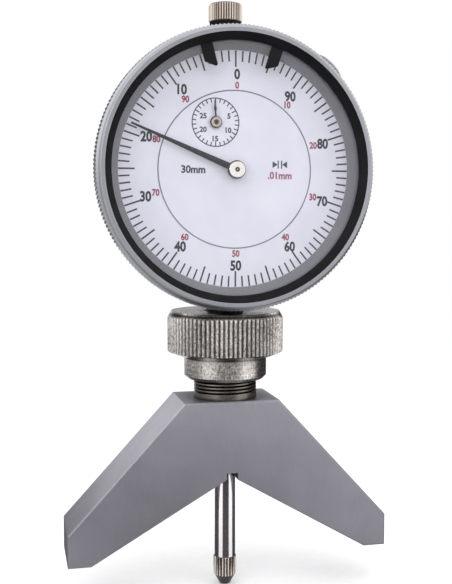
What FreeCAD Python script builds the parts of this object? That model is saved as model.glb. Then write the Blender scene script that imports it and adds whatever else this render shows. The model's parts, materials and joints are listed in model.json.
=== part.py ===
import FreeCAD, Part
import math
import os
from types import SimpleNamespace

import Sketcher

# A dial depth gauge: a 58 mm dial indicator clamped in a V-shaped bridge base.
# Frame: +Z up along the spindle, the dial faces -Y, +X to the reader's right.
# Origin: on the spindle's axis, in the plane of the two feet.
# Depths of the dial unit are counted from the spindle's axis towards the reader.

# Driving lengths, in millimetres
LENGTHS = {
    # Bridge base
    "base_width": 71.4,
    "base_top_width": 21.2,
    "base_height": 34.4,
    "base_end_height": 7.05,
    "base_thickness": 15.0,
    "base_edge": 0.3,
    "foot_width": 4.95,
    "relief_width": 2.6,
    "relief_depth": 1.6,
    "contact_bore_gap": 0.7,
    # Threaded split bush
    "grip_clearance": 0.03,
    "collet_wall": 2.97,
    "collet_land_height": 1.05,
    "collet_height": 13.6,
    "collet_cone_height": 3.2,
    "collet_cone_depth": 1.6,
    "spigot_wall": 1.0,
    "spigot_length": 9.6,
    "thread_pitch": 0.75,
    "thread_depth": 0.42,
    "slit_width": 0.8,
    "slit_depth": 9.5,
    # Clamp nut
    "nut_rise": 4.3,
    "nut_thread_gap": 0.05,
    "nut_collar_wall": 2.15,
    "nut_collar_height": 4.6,
    "nut_collar_chamfer": 0.75,
    "nut_head_wall": 5.8,
    "nut_head_height": 10.4,
    "nut_lower_chamfer": 1.5,
    "nut_upper_chamfer": 1.4,
    "nut_upper_chamfer_width": 0.8,
    "nut_knurl_depth": 0.4,
    "nut_cone_gap": 0.1,
    "nut_hole_gap": 0.35,
    "nut_hole_edge": 0.4,
    # Stem and the spindle's bushes
    "stem_radius": 4.0,
    "stem_inset": 4.4,
    "stem_end_gap": 1.3,
    "stem_edge": 0.4,
    "bush_length": 6.0,
    "bush_wall": 0.4,
    "running_clearance": 0.03,
    "press_gap": 0.02,
    # Spindle and what it carries
    "travel": 30.0,
    "spindle_radius": 2.35,
    "contact_radius": 2.6,
    "contact_body_length": 4.4,
    "contact_cone_length": 2.2,
    "contact_tip_radius": 1.15,
    "contact_tip_round": 0.7,
    "contact_edge": 0.25,
    "contact_knurl_depth": 0.3,
    "joint_thread_radius": 1.2,
    "joint_thread_length": 3.6,
    "rack_flat_depth": 0.243,
    "travel_per_turn": 10.0,
    "guide_pin_radius": 0.8,
    "guide_pin_reach": 7.5,
    "guide_pin_seat": 1.9,
    # Lift cap and its stop
    "cap_overhang": 0.2,
    "cap_height": 3.8,
    "cap_gap": 0.05,
    "cap_edge": 0.35,
    "cap_knurl_depth": 0.25,
    "cap_socket_height": 2.8,
    "cushion_height": 2.45,
    "cushion_gap": 0.3,
    "top_bush_radius": 3.0,
    "collar_flange": 0.45,
    "collar_height": 2.4,
    "top_boss_wall": 1.2,
    "top_boss_height": 0.5,
    # Case
    "case_wall": 2.0,
    "case_rear_depth": 7.5,
    "case_front_gap": 0.5,
    "stem_boss_wall": 1.5,
    "stem_boss_height": 2.6,
    "cover_boss_radius": 1.8,
    "cover_boss_merge": 0.2,
    "cover_thickness": 1.2,
    "cover_edge": 0.5,
    "cover_rim_width": 8.0,
    "cover_dish_depth": 0.35,
    "groove_width": 0.9,
    "groove_depth": 0.7,
    "wire_radius": 0.36,
    # Screws
    "screw_radius": 0.8,
    "screw_length": 4.0,
    "screw_head_radius": 1.5,
    "screw_head_height": 0.8,
    "screw_slot_width": 0.4,
    "screw_slot_depth": 0.4,
    "small_screw_radius": 0.5,
    "small_screw_length": 1.8,
    "small_head_radius": 1.0,
    "small_head_height": 0.6,
    # Movement frame
    "plate_margin": 0.4,
    "plate_thickness": 0.8,
    "plate_gap": 0.3,
    "bridge_gap": 0.5,
    "pillar_radius": 1.2,
    "pillar_margin": 0.5,
    "layer_gap": 0.45,
    "wheel_thickness": 0.5,
    "hub_radius": 1.3,
    "arbor_radius": 0.5,
    "pivot_radius": 0.3,
    "window_gap": 0.4,
    "cock_width": 2.4,
    "cock_length": 7.2,
    "cock_post_radius": 1.0,
    "pinion_face": 2.6,
    "rail_gap": 0.8,
    "rail_width": 1.8,
    "rail_wall": 1.0,
    "rail_end": 1.6,
    "pin_clearance": 0.04,
    # Gear train
    "train_margin": 3.82,
    "arbor_gap": 0.12,
    "counter_inset": 0.3,
    # Springs
    "spring_radius": 1.4,
    "spring_wire": 0.2,
    "spring_room": 13.0,
    "rail_top_room": 1.6,
    "spring_anchor_rise": 2.5,
    "spring_anchor_radius": 0.6,
    "spring_end_gap": 0.25,
    "hairspring_inner": 1.36,
    "hairspring_outer": 5.0,
    "hairspring_strip": 0.12,
    "hairspring_height": 0.5,
    "stud_radius": 0.5,
    # Dials
    "dial_foot_height": 1.55,
    "dial_foot_radius": 0.8,
    "dial_foot_inset": 3.5,
    "dial_thickness": 0.4,
    "scale_band": 11.24,
    "dial_seam": 0.1,
    "dial_hole_gap": 0.3,
    # Bezel
    "bezel_clearance": 0.06,
    "bezel_ledge": 0.83,
    "bezel_lip": 1.11,
    "bezel_rim_height": 0.8,
    "bezel_skirt_wall": 1.34,
    "bezel_overlap": 2.7,
    "bezel_rim_width": 4.7,
    "bezel_rim_setback": 1.6,
    "bezel_edge": 0.3,
    "bezel_knurl_depth": 0.28,
    "bezel_gap": 0.8,
    "dial_wall_width": 3.09,
    "dial_wall_rim": 0.99,
    "crystal_thickness": 0.7,
    "marker_slot": 0.4,
    "crystal_ring_height": 1.7,
    "crystal_ring_width": 1.49,
    "crystal_ring_lip": 0.15,
    "crystal_ring_setback": 0.1,
    # Limit markers
    "marker_thickness": 0.3,
    "marker_width": 2.5,
    "marker_reach": 6.6,
    "marker_slant": 1.65,
    "marker_round": 0.35,
    "marker_foot_width": 1.2,
    # Pointers
    "small_pointer_gap": 0.4,
    "small_pointer_length": 4.6,
    "small_pointer_width": 0.3,
    "small_pointer_tip": 0.2,
    "small_pointer_swell": 0.54,
    "small_pointer_swell_place": 2.8,
    "small_pointer_swell_reach": 0.75,
    "small_pointer_thickness": 0.15,
    "small_hub_radius": 1.15,
    "small_hub_height": 0.4,
    "hub_edge": 0.2,
    "pointer_clearance": 0.15,
    "pointer_tip_gap": 0.8,
    "main_pointer_root": 1.5,
    "main_pointer_tip": 0.4,
    "main_pointer_thickness": 0.3,
    "main_hub_radius": 1.8,
    "main_hub_height": 0.5,
    "crystal_clearance": 0.1,
    "boss_rim": 0.12,
    # Bezel clamp
    "clamp_depth": 2.9,
    "clamp_head_radius": 4.0,
    "clamp_head_height": 3.1,
    "clamp_head_edge": 0.4,
    "clamp_knurl_depth": 0.2,
    "clamp_neck_radius": 1.6,
    "clamp_neck_height": 0.5,
    "clamp_thread_radius": 1.0,
    "shoe_gap": 0.05,
    "shoe_height": 1.85,
    "shoe_rear_margin": 1.4,
    "overrun": 1.0,
}

# Driving angles, in degrees
ANGLES = {
    "vee_angle": 30.0,
    "thread_half_angle": 30.0,
    "cover_boss_angle": 45.0,
    "pillar_angle": 25.0,
    "counter_angle": 113.7,
    "main_pointer_angle": 67.3,
    "small_pointer_angle": 3.0,
    "left_marker_angle": 15.0,
    "right_marker_angle": -18.3,
    "marker_foot_angle": 10.0,
    "clamp_angle": 44.5,
    "shoe_angle": 16.0,
    "wire_gap_angle": 18.0,
    "dial_foot_angle": 80.0,
}

# Counts of teeth, ridges, turns and copies
COUNTS = {
    "wheel_teeth": 100,
    "centre_teeth": 10,
    "rack_pinion_teeth": 16,
    "takeup_teeth": 12,
    "counter_teeth": 36,
    "rack_spare_teeth": 5,
    "nut_ridges": 78,
    "bezel_ridges": 210,
    "cap_ridges": 38,
    "contact_ridges": 22,
    "clamp_ridges": 44,
    "cover_screws": 4,
    "dial_feet": 3,
    "slit_planes": 2,
    "spring_turns": 16,
    "hairspring_turns": 7,
}

# A tooth's width at its root and at its tip, as shares of the pitch,
# and its height above and below the pitch line, as shares of the module
WHEEL_SHARES = (0.60, 0.22)
PINION_SHARES = (0.40, 0.26)
RACK_SHARES = (0.60, 0.24)
ADDENDUM_SHARE = 0.9
DEDENDUM_SHARE = 1.25
TURN = 360.0
# Each screw's slot stands this share of a turn further than the one before
SLOT_SHARE = 0.1
POINTS_PER_TURN = 12


class Size:
    """A number from the sheet, with the formula that gives it there."""

    def __init__(self, value, text):
        self.value = value
        self.text = text

    def join(self, sign, other, value, swap=False):
        mine, theirs = self.text, formula(other)
        if swap:
            mine, theirs = theirs, mine
        return Size(value, f"({mine} {sign} {theirs})")

    def __add__(self, other):
        return self.join("+", other, self.value + number(other))

    def __radd__(self, other):
        return self.join("+", other, number(other) + self.value, swap=True)

    def __sub__(self, other):
        return self.join("-", other, self.value - number(other))

    def __rsub__(self, other):
        return self.join("-", other, number(other) - self.value, swap=True)

    def __mul__(self, other):
        return self.join("*", other, self.value * number(other))

    def __rmul__(self, other):
        return self.join("*", other, number(other) * self.value, swap=True)

    def __truediv__(self, other):
        return self.join("/", other, self.value / number(other))

    def __neg__(self):
        return Size(-self.value, f"(-{self.text})")

    def __float__(self):
        return float(self.value)


def number(size):
    return size.value if isinstance(size, Size) else size


def formula(size):
    return size.text if isinstance(size, Size) else repr(size)


def root(size):
    return Size(math.sqrt(size.value), f"sqrt({size.text})")


def whole(size):
    return Size(round(size.value), f"round({size.text})")


def cosine(angle):
    return Size(math.cos(math.radians(angle.value)), f"cos({angle.text} * 1deg)")


def sine(angle):
    return Size(math.sin(math.radians(angle.value)), f"sin({angle.text} * 1deg)")


def tangent(angle):
    return Size(math.tan(math.radians(angle.value)), f"tan({angle.text} * 1deg)")


# The sheet holds each driving value under its own name
doc = FreeCAD.newDocument("depth_gauge")
sheet = doc.addObject("Spreadsheet::Sheet", "sizes")
driving = {**LENGTHS, **ANGLES, **COUNTS}
for row, (name, value) in enumerate(driving.items(), start=1):
    sheet.set(f"A{row}", name)
    sheet.set(f"B{row}", str(value))
    sheet.setAlias(f"B{row}", name)
doc.recompute()
s = SimpleNamespace(**{name: Size(value, f"<<sizes>>.{name}") for name, value in driving.items()})

nodes = {}
X_AXIS = FreeCAD.Vector(1, 0, 0)
Y_AXIS = FreeCAD.Vector(0, 1, 0)
Z_AXIS = FreeCAD.Vector(0, 0, 1)
FACING = FreeCAD.Rotation(X_AXIS, TURN / 4)


def node(name, obj):
    """Keep an object as the sub-part of this name."""
    obj.Label = name
    nodes[name] = obj
    return obj


def bind(obj, path, size):
    """Tie a property to the sheet, or set it where the value is plain."""
    if isinstance(size, Size):
        obj.setExpression(path, size.text)
    else:
        obj.setExpression(path, None)


def set_size(obj, name, size):
    setattr(obj, name, number(size))
    bind(obj, name, size)


def place(obj, x=0, y=0, z=0, rotation=FreeCAD.Rotation()):
    obj.Placement = FreeCAD.Placement(
        FreeCAD.Vector(number(x), number(y), number(z)), rotation
    )
    for path, size in (("x", x), ("y", y), ("z", z)):
        bind(obj, f"Placement.Base.{path}", size)
    return obj


def face_on(obj, x=0, y=0, turn=0.0, depth=0):
    """Stand an object, drawn flat as the reader sees it, on the dial's axis."""
    rotation = FACING.multiply(FreeCAD.Rotation(Z_AXIS, turn))
    return place(obj, x, -depth if isinstance(depth, Size) else 0, dial_height + y, rotation)


def new_body(name):
    return doc.addObject("PartDesign::Body", name)


def new_sketch(body, role, offset=None):
    sketch = body.newObject("Sketcher::SketchObject", f"{body.Name}_sketch")
    plane = next(f for f in body.Origin.OriginFeatures if f.Role == role)
    sketch.AttachmentSupport = (plane, [""])
    sketch.MapMode = "FlatFace"
    if offset is not None:
        sketch.AttachmentOffset = FreeCAD.Placement(
            FreeCAD.Vector(0, 0, number(offset)), FreeCAD.Rotation()
        )
        bind(sketch, "AttachmentOffset.Base.z", offset)
    return sketch


def fix(sketch, kind, geometry, position, size):
    """Hold one coordinate of a point against the sketch's origin."""
    index = sketch.addConstraint(
        Sketcher.Constraint(kind, -1, 1, geometry, position, number(size))
    )
    if isinstance(size, Size):
        sketch.setExpression(f"Constraints[{index}]", size.text)


def outline(body, role, points, offset=None):
    """A closed outline of straight lines through points given in sizes."""
    sketch = new_sketch(body, role, offset)
    corners = [FreeCAD.Vector(number(x), number(y), 0) for x, y in points]
    count = len(corners)
    for index in range(count):
        line = Part.LineSegment(corners[index], corners[(index + 1) % count])
        sketch.addGeometry(line, False)
    for index in range(count):
        joint = Sketcher.Constraint("Coincident", index, 2, (index + 1) % count, 1)
        sketch.addConstraint(joint)
    for index, (x, y) in enumerate(points):
        fix(sketch, "DistanceX", index, 1, x)
        fix(sketch, "DistanceY", index, 1, y)
    return sketch


def circles(body, role, rounds, offset=None):
    """Circles given as x, y and radius."""
    sketch = new_sketch(body, role, offset)
    for index, (x, y, radius) in enumerate(rounds):
        centre = FreeCAD.Vector(number(x), number(y), 0)
        sketch.addGeometry(Part.Circle(centre, Z_AXIS, number(radius)), False)
        fix(sketch, "DistanceX", index, 3, x)
        fix(sketch, "DistanceY", index, 3, y)
        held = sketch.addConstraint(Sketcher.Constraint("Radius", index, number(radius)))
        sketch.setExpression(f"Constraints[{held}]", radius.text)
    return sketch


def pad(body, sketch, length, both_ways=False):
    feature = body.newObject("PartDesign::Pad", f"{body.Name}_pad")
    feature.Profile = sketch
    set_size(feature, "Length", length)
    feature.Midplane = both_ways
    return feature


def pocket(body, sketch, length, onward=False, both_ways=False):
    """Cut against the sketch's normal, or onward along it."""
    feature = body.newObject("PartDesign::Pocket", f"{body.Name}_pocket")
    feature.Profile = sketch
    set_size(feature, "Length", length)
    feature.Reversed = onward
    feature.Midplane = both_ways
    return feature


def axis_of(body, role):
    return next(f for f in body.Origin.OriginFeatures if f.Role == role)


def polar(body, feature, count, angle=TURN):
    pattern = body.newObject("PartDesign::PolarPattern", f"{body.Name}_pattern")
    pattern.Originals = [feature]
    pattern.Axis = (axis_of(body, "Z_Axis"), [""])
    pattern.Angle = angle
    set_size(pattern, "Occurrences", count)
    body.Tip = pattern
    return pattern


def turned(name, points):
    """A body turned about its own Z axis from an outline of radius and height."""
    body = new_body(name)
    sketch = outline(body, "XZ_Plane", points)
    feature = body.newObject("PartDesign::Revolution", f"{name}_turn")
    feature.Profile = sketch
    feature.ReferenceAxis = (sketch, ["V_Axis"])
    feature.Angle = TURN
    return body


def tube(name, outer, inner, low, high):
    return turned(name, [(inner, low), (outer, low), (outer, high), (inner, high)])


def flat_disc(name, radius, holes, rear, thickness):
    """A round plate drawn face on, with round holes through it."""
    body = new_body(name)
    pad(body, circles(body, "XY_Plane", [(0, 0, radius)], rear), thickness)
    if holes:
        pocket(body, circles(body, "XY_Plane", holes, rear), thickness, onward=True)
    return face_on(body)


def rod(name, radius, low, high, x=0, y=0):
    """An upright cylinder."""
    obj = doc.addObject("Part::Cylinder", name)
    set_size(obj, "Radius", radius)
    set_size(obj, "Height", high - low)
    return place(obj, x, y, low)


def face_rod(name, radius, rear, front, x, y):
    """A cylinder along the dial's axis, from one depth to another."""
    obj = doc.addObject("Part::Cylinder", name)
    set_size(obj, "Radius", radius)
    set_size(obj, "Height", front - rear)
    return face_on(obj, x, y, depth=rear)


def block(name, low, high):
    obj = doc.addObject("Part::Box", name)
    for side, start, end in zip(("Length", "Width", "Height"), low, high):
        set_size(obj, side, end - start)
    return place(obj, *low)


def cut(name, base, tool):
    obj = doc.addObject("Part::Cut", name)
    obj.Base = base
    obj.Tool = tool
    return obj


def fuse(name, shapes):
    obj = doc.addObject("Part::MultiFuse", name)
    obj.Shapes = shapes
    return obj


def common(name, shapes):
    obj = doc.addObject("Part::MultiCommon", name)
    obj.Shapes = shapes
    return obj


def feature(name, shape):
    obj = doc.addObject("Part::Feature", name)
    obj.Shape = shape
    return obj


def ring_point(radius, angle, height=0.0):
    turn = math.radians(angle)
    return FreeCAD.Vector(radius * math.cos(turn), radius * math.sin(turn), height)


def toothed_prism(count, root_radius, tip_radius, shares, low, high, phase=0.0):
    """A prism of straight teeth; one tooth stands at the phase angle."""
    pitch = TURN / count
    root_share, tip_share = shares
    corners = []
    for index in range(count):
        middle = phase + index * pitch
        for radius, share in (
            (root_radius, -root_share),
            (tip_radius, -tip_share),
            (tip_radius, tip_share),
            (root_radius, root_share),
        ):
            corners.append(ring_point(radius, middle + share * pitch / 2, low))
    face = Part.Face(Part.makePolygon(corners + corners[:1]))
    return face.extrude(FreeCAD.Vector(0, 0, high - low))


def knurl(name, radius, depth, ridges, low, high):
    """The prism that a round blank is cut to, with sharp straight ridges all round."""
    count = int(number(ridges))
    corners = []
    for index in range(2 * count):
        reach = radius - depth if index % 2 else radius
        corners.append(ring_point(number(reach), TURN * index / (2 * count), number(low)))
    face = Part.Face(Part.makePolygon(corners + corners[:1]))
    return feature(name, face.extrude(FreeCAD.Vector(0, 0, number(high - low))))


def gear(teeth, module, shares, rear, front, phase=0.0):
    radius = number(module * teeth) / 2
    return toothed_prism(
        int(number(teeth)),
        radius - DEDENDUM_SHARE * number(module),
        radius + ADDENDUM_SHARE * number(module),
        shares,
        number(rear),
        number(front),
        phase,
    )


def cylinder(radius, rear, front):
    """A plain cylinder along the local Z axis."""
    base = FreeCAD.Vector(0, 0, number(rear))
    return Part.makeCylinder(number(radius), number(front) - number(rear), base)


def edges_where(shape, test):
    """Names of the straight edges whose middle passes the test."""
    names = []
    for index, edge in enumerate(shape.Edges, start=1):
        if isinstance(edge.Curve, Part.Line) and test(edge.CenterOfMass):
            names.append(f"Edge{index}")
    return names


# Heights of the assembly, from the feet up
over = s.overrun
nut_bottom = s.base_height + s.nut_rise
nut_head_bottom = nut_bottom + s.nut_collar_height
nut_top = nut_head_bottom + s.nut_head_height
spindle_bore = s.spindle_radius + s.running_clearance
# The case is as wide as its guide rail is long, with room for the spring below it
slot_length = s.travel + 2 * (s.guide_pin_radius + s.plate_gap)
rail_length = slot_length + 2 * s.rail_end
case_inner = (s.spring_room + rail_length + s.rail_top_room) / 2
case_radius = case_inner + s.case_wall
bezel_bore = case_radius + s.bezel_clearance
seat_radius = bezel_bore + s.bezel_ledge
bezel_front_radius = seat_radius + s.bezel_lip
bezel_rim_radius = bezel_front_radius + s.bezel_rim_height
dial_height = nut_top + s.bezel_gap + bezel_rim_radius
stem_bottom = s.base_height - s.spigot_length + s.stem_inset
stem_top = dial_height - case_inner
stem_bore = spindle_bore + s.bush_wall + s.press_gap
# At the end of its travel the contact point stops just below the stem
spindle_bottom = stem_bottom - s.stem_end_gap - s.travel
boss_bottom = dial_height - case_radius - s.stem_boss_height
top_boss_top = dial_height + case_radius + s.top_boss_height
collar_radius = s.top_bush_radius + s.collar_flange
cap_radius = collar_radius + s.cap_overhang
collar_top = top_boss_top + s.collar_height
cushion_top = collar_top + s.cushion_height
cap_bottom = cushion_top + s.cap_gap
rail_bottom = dial_height - case_inner + s.spring_room
slot_bottom = rail_bottom + s.rail_end
guide_pin_height = slot_bottom + s.plate_gap + s.guide_pin_radius

# Depths of the dial unit, from the spindle's axis towards the reader
plate_rear = s.spindle_radius + s.plate_gap
plate_front = plate_rear + s.plate_thickness
layer_step = s.wheel_thickness + s.layer_gap
first_layer = plate_front + s.layer_gap
second_layer = first_layer + layer_step
hairspring_layer = second_layer + layer_step
bridge_rear = hairspring_layer + s.hairspring_height + s.layer_gap
bridge_front = bridge_rear + s.plate_thickness
dial_rear = bridge_front + s.dial_foot_height
dial_front = dial_rear + s.dial_thickness
case_front = dial_rear - s.case_front_gap
bezel_rear = case_front - s.bezel_overlap
small_pointer_rear = dial_front + s.small_pointer_gap
small_hub_rear = small_pointer_rear + s.small_pointer_thickness
small_hub_front = small_hub_rear + s.small_hub_height
main_pointer_rear = small_hub_front + s.pointer_clearance
main_hub_rear = main_pointer_rear + s.main_pointer_thickness
main_hub_front = main_hub_rear + s.main_hub_height
crystal_rear = main_hub_front + s.crystal_clearance
crystal_front = crystal_rear + s.crystal_thickness
ring_rear = crystal_front + s.marker_slot
ring_front = ring_rear + s.crystal_ring_height
bezel_front = ring_front + s.crystal_ring_setback
rim_front = bezel_front - s.bezel_rim_setback
rim_rear = rim_front - s.bezel_rim_width

# Rings of the movement frame, from the case's wall inward
cover_boss_ring = case_inner - s.cover_boss_radius + s.cover_boss_merge
plate_radius = case_inner - s.plate_margin
bridge_radius = cover_boss_ring - s.small_head_radius - s.bridge_gap
pillar_ring = bridge_radius - s.pillar_radius - s.pillar_margin
scale_inner = seat_radius - s.scale_band
dial_disc_radius = scale_inner - s.dial_seam

# Places of the four arbors, face on, from the centre of the dial.
# The largest wheels reach from the centre pinion to a margin inside the case.
# The rack pinion turns once for each turn's worth of travel.
wheel_reach = (s.wheel_teeth + s.centre_teeth) / 2 + s.wheel_teeth / 2 + ADDENDUM_SHARE
fine_module = (case_inner - s.train_margin) / wheel_reach
wheel_tip = fine_module * (s.wheel_teeth / 2 + ADDENDUM_SHARE)
rack_module = s.travel_per_turn / (math.pi * s.rack_pinion_teeth)
rack_pitch = s.travel_per_turn / s.rack_pinion_teeth
rack_tip = s.spindle_radius - s.rack_flat_depth
rack_line = rack_tip - ADDENDUM_SHARE * rack_module
wheel_distance = fine_module * (s.wheel_teeth + s.centre_teeth) / 2
first_x = -(rack_line + rack_module * s.rack_pinion_teeth / 2)
first_y = -root(wheel_distance * wheel_distance - first_x * first_x)
# The take-up wheel passes just clear of the counter's arbor
counter_distance = wheel_tip + s.arbor_radius + s.arbor_gap
counter_module = 2 * counter_distance / (s.takeup_teeth + s.counter_teeth)
counter_reach = wheel_distance - s.counter_inset
counter_x = counter_reach * cosine(s.counter_angle)
counter_y = counter_reach * sine(s.counter_angle)
along = (
    wheel_distance * wheel_distance
    - counter_distance * counter_distance
    + counter_reach * counter_reach
) / (2 * counter_reach)
aside = root(wheel_distance * wheel_distance - along * along)
takeup_x = (along * counter_x + aside * counter_y) / counter_reach
takeup_y = (along * counter_y - aside * counter_x) / counter_reach
boss_count = COUNTS["cover_screws"]
boss_corners = [s.cover_boss_angle + TURN * step / boss_count for step in range(boss_count)]
boss_places = [
    (cover_boss_ring * cosine(angle), cover_boss_ring * sine(angle)) for angle in boss_corners
]
pillar_angles = [s.pillar_angle, TURN / 2 - s.pillar_angle, TURN / 2 + s.pillar_angle, -s.pillar_angle]
pillar_places = [(pillar_ring * cosine(angle), pillar_ring * sine(angle)) for angle in pillar_angles]


def make_base():
    """The bridge: two feet, a relieved V between them and a bore for the bush."""
    half = s.base_width / 2
    top = s.base_top_width / 2
    foot = half - s.foot_width
    slot = s.relief_width / 2
    slot_mouth = (foot - slot) * tangent(s.vee_angle)
    relief_top = slot_mouth + s.relief_depth
    right = [
        (slot, relief_top),
        (slot, slot_mouth),
        (foot, 0),
        (half, 0),
        (half, s.base_end_height),
        (top, s.base_height),
    ]
    left = [(-x, z) for x, z in reversed(right)]
    body = new_body("base")
    pad(body, outline(body, "XZ_Plane", right + left), s.base_thickness, both_ways=True)
    spigot_hole = s.stem_radius + s.grip_clearance + s.spigot_wall + s.press_gap
    seat = circles(body, "XY_Plane", [(0, 0, spigot_hole)], s.base_height)
    pocket(body, seat, s.spigot_length)
    bore = circles(body, "XY_Plane", [(0, 0, s.contact_radius + s.contact_bore_gap)], s.base_height)
    bored = pocket(body, bore, s.base_height)
    doc.recompute()
    side = number(s.base_thickness) / 2
    margin = number(s.base_edge)
    reach = number(s.relief_width)

    def outer(point):
        on_face = abs(abs(point.y) - side) < margin
        return on_face and (abs(point.x) > reach or point.z > number(relief_top) + margin)

    chamfer = body.newObject("PartDesign::Chamfer", "base_edges")
    chamfer.Base = (bored, edges_where(bored.Shape, outer))
    set_size(chamfer, "Size", s.base_edge)
    node("base", body)


def make_collet():
    """The split bush: a plain spigot below, a threaded and slit cone above."""
    bore = s.stem_radius + s.grip_clearance
    radius = s.stem_radius + s.grip_clearance + s.collet_wall
    bottom = s.base_height - s.spigot_length
    top = s.base_height + s.collet_height
    cone_bottom = top - s.collet_cone_height
    spigot = bore + s.spigot_wall
    body = turned(
        "collet",
        [
            (bore, bottom),
            (spigot, bottom),
            (spigot, s.base_height),
            (radius, s.base_height),
            (radius, cone_bottom),
            (radius - s.collet_cone_depth, top),
            (bore, top),
        ],
    )
    doc.recompute()
    start = s.base_height + s.collet_land_height
    crest = s.thread_depth * tangent(s.thread_half_angle)
    groove = outline(
        body,
        "XZ_Plane",
        [
            (radius + s.thread_depth / 2, start - crest * 3 / 2),
            (radius + s.thread_depth / 2, start + crest * 3 / 2),
            (radius - s.thread_depth, start),
        ],
    )
    thread = body.newObject("PartDesign::SubtractiveHelix", "collet_thread")
    thread.Profile = groove
    thread.ReferenceAxis = (groove, ["V_Axis"])
    set_size(thread, "Pitch", s.thread_pitch)
    set_size(thread, "Height", cone_bottom - start)
    half = s.slit_width / 2
    slit = outline(
        body,
        "XZ_Plane",
        [(-half, top - s.slit_depth), (half, top - s.slit_depth), (half, top + over), (-half, top + over)],
    )
    sawn = pocket(body, slit, 2 * (radius + over), both_ways=True)
    polar(body, sawn, s.slit_planes, TURN / 4)
    node("collet", body)


def make_clamp_nut():
    """The nut: a plain collar below a knurled head, closed by an inner cone."""
    thread = s.stem_radius + s.grip_clearance + s.collet_wall + s.nut_thread_gap
    collar = thread + s.nut_collar_wall
    head = thread + s.nut_head_wall
    blank = turned(
        "nut_blank",
        [
            (0, nut_bottom),
            (collar - s.nut_collar_chamfer, nut_bottom),
            (collar, nut_bottom + s.nut_collar_chamfer),
            (collar, nut_head_bottom),
            (head, nut_head_bottom + s.nut_lower_chamfer),
            (head, nut_top - s.nut_upper_chamfer),
            (head - s.nut_upper_chamfer_width, nut_top),
            (0, nut_top),
        ],
    )
    ridges = knurl("nut_ridges_prism", head, s.nut_knurl_depth, s.nut_ridges, nut_bottom, nut_top)
    hole = s.stem_radius + s.nut_hole_gap
    cone_bottom = s.base_height + s.collet_height - s.collet_cone_height + s.nut_cone_gap
    cone_top = cone_bottom + (thread - hole) * s.collet_cone_height / s.collet_cone_depth
    bore = turned(
        "nut_bore",
        [
            (0, nut_bottom - over),
            (thread, nut_bottom - over),
            (thread, cone_bottom),
            (hole, cone_top),
            (hole, nut_top - s.nut_hole_edge),
            (hole + s.nut_hole_edge, nut_top),
            (hole + s.nut_hole_edge, nut_top + over),
            (0, nut_top + over),
        ],
    )
    node("clamp_nut", cut("clamp_nut", common("nut_solid", [blank, ridges]), bore))


def make_stem():
    """The indicator's stem and the two bushes pressed into its ends."""
    outer = s.stem_radius
    inner = stem_bore
    body = turned(
        "stem",
        [
            (inner, stem_bottom),
            (outer - s.stem_edge, stem_bottom),
            (outer, stem_bottom + s.stem_edge),
            (outer, stem_top),
            (inner, stem_top),
        ],
    )
    node("stem", body)
    bush = inner - s.press_gap
    ends = ((stem_bottom, stem_bottom + s.bush_length), (stem_top - s.bush_length, stem_top))
    rings = [tube(f"stem_bush_{place_name}", bush, spindle_bore, low, high)
             for place_name, (low, high) in zip(("lower", "upper"), ends)]
    group = doc.addObject("Part::Compound", "stem_bushes")
    group.Links = rings
    node("stem_bushes", group)


def make_case():
    """The ring of the case, with the bosses that carry the covers and the stem."""
    outer = case_radius
    groove = bezel_rear + s.bezel_overlap / 2
    half = s.groove_width / 2
    ring = turned(
        "case_ring",
        [
            (case_inner, -s.case_rear_depth),
            (outer, -s.case_rear_depth),
            (outer, groove - half),
            (outer - s.groove_depth, groove - half),
            (outer - s.groove_depth, groove + half),
            (outer, groove + half),
            (outer, case_front),
            (case_inner, case_front),
        ],
    )
    face_on(ring)
    wall_middle = case_radius - s.case_wall / 2
    bosses = [
        face_rod(f"case_boss_{index}", s.cover_boss_radius, -s.case_rear_depth, plate_rear, x, y)
        for index, (x, y) in enumerate(boss_places)
    ]
    stem_wall = s.stem_radius + s.stem_boss_wall
    stem_boss = rod("case_stem_boss", stem_wall, boss_bottom, dial_height - wall_middle)
    top_wall = s.top_bush_radius + s.top_boss_wall
    top_boss = rod("case_top_boss", top_wall, dial_height + wall_middle, top_boss_top)
    solid = fuse("case_solid", [ring, stem_boss, top_boss] + bosses)
    stem_hole = rod("case_stem_hole", s.stem_radius + s.press_gap, boss_bottom - over, dial_height)
    bush_hole = rod(
        "case_bush_hole", s.top_bush_radius + s.press_gap, dial_height, top_boss_top + over
    )
    screw_hole = s.screw_radius + s.press_gap
    small_hole = s.small_screw_radius + s.press_gap
    screw_end = s.screw_length - s.cover_thickness - s.case_rear_depth + s.press_gap
    small_end = plate_front - s.small_screw_length - s.press_gap
    rear_holes = [
        face_rod(f"case_screw_hole_{index}", screw_hole, -s.case_rear_depth - over, screw_end, x, y)
        for index, (x, y) in enumerate(boss_places)
    ]
    front_holes = [
        face_rod(f"case_small_hole_{index}", small_hole, small_end, plate_front, x, y)
        for index, (x, y) in enumerate(boss_places)
    ]
    clamp_hole = doc.addObject("Part::Cylinder", "case_clamp_hole")
    set_size(clamp_hole, "Radius", s.clamp_thread_radius + s.press_gap)
    set_size(clamp_hole, "Height", s.case_wall + 2 * over)
    radial(clamp_hole, case_inner - over)
    holes = fuse("case_holes", [stem_hole, bush_hole, clamp_hole] + rear_holes + front_holes)
    node("case", cut("case", solid, holes))


def radial(obj, reach):
    """Stand an object on the case at the clamp, its Z axis pointing outward."""
    angle = s.clamp_angle
    return place(
        obj,
        reach * sine(angle),
        -s.clamp_depth,
        dial_height + reach * cosine(angle),
        FreeCAD.Rotation(Y_AXIS, ANGLES["clamp_angle"]),
    )


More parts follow.
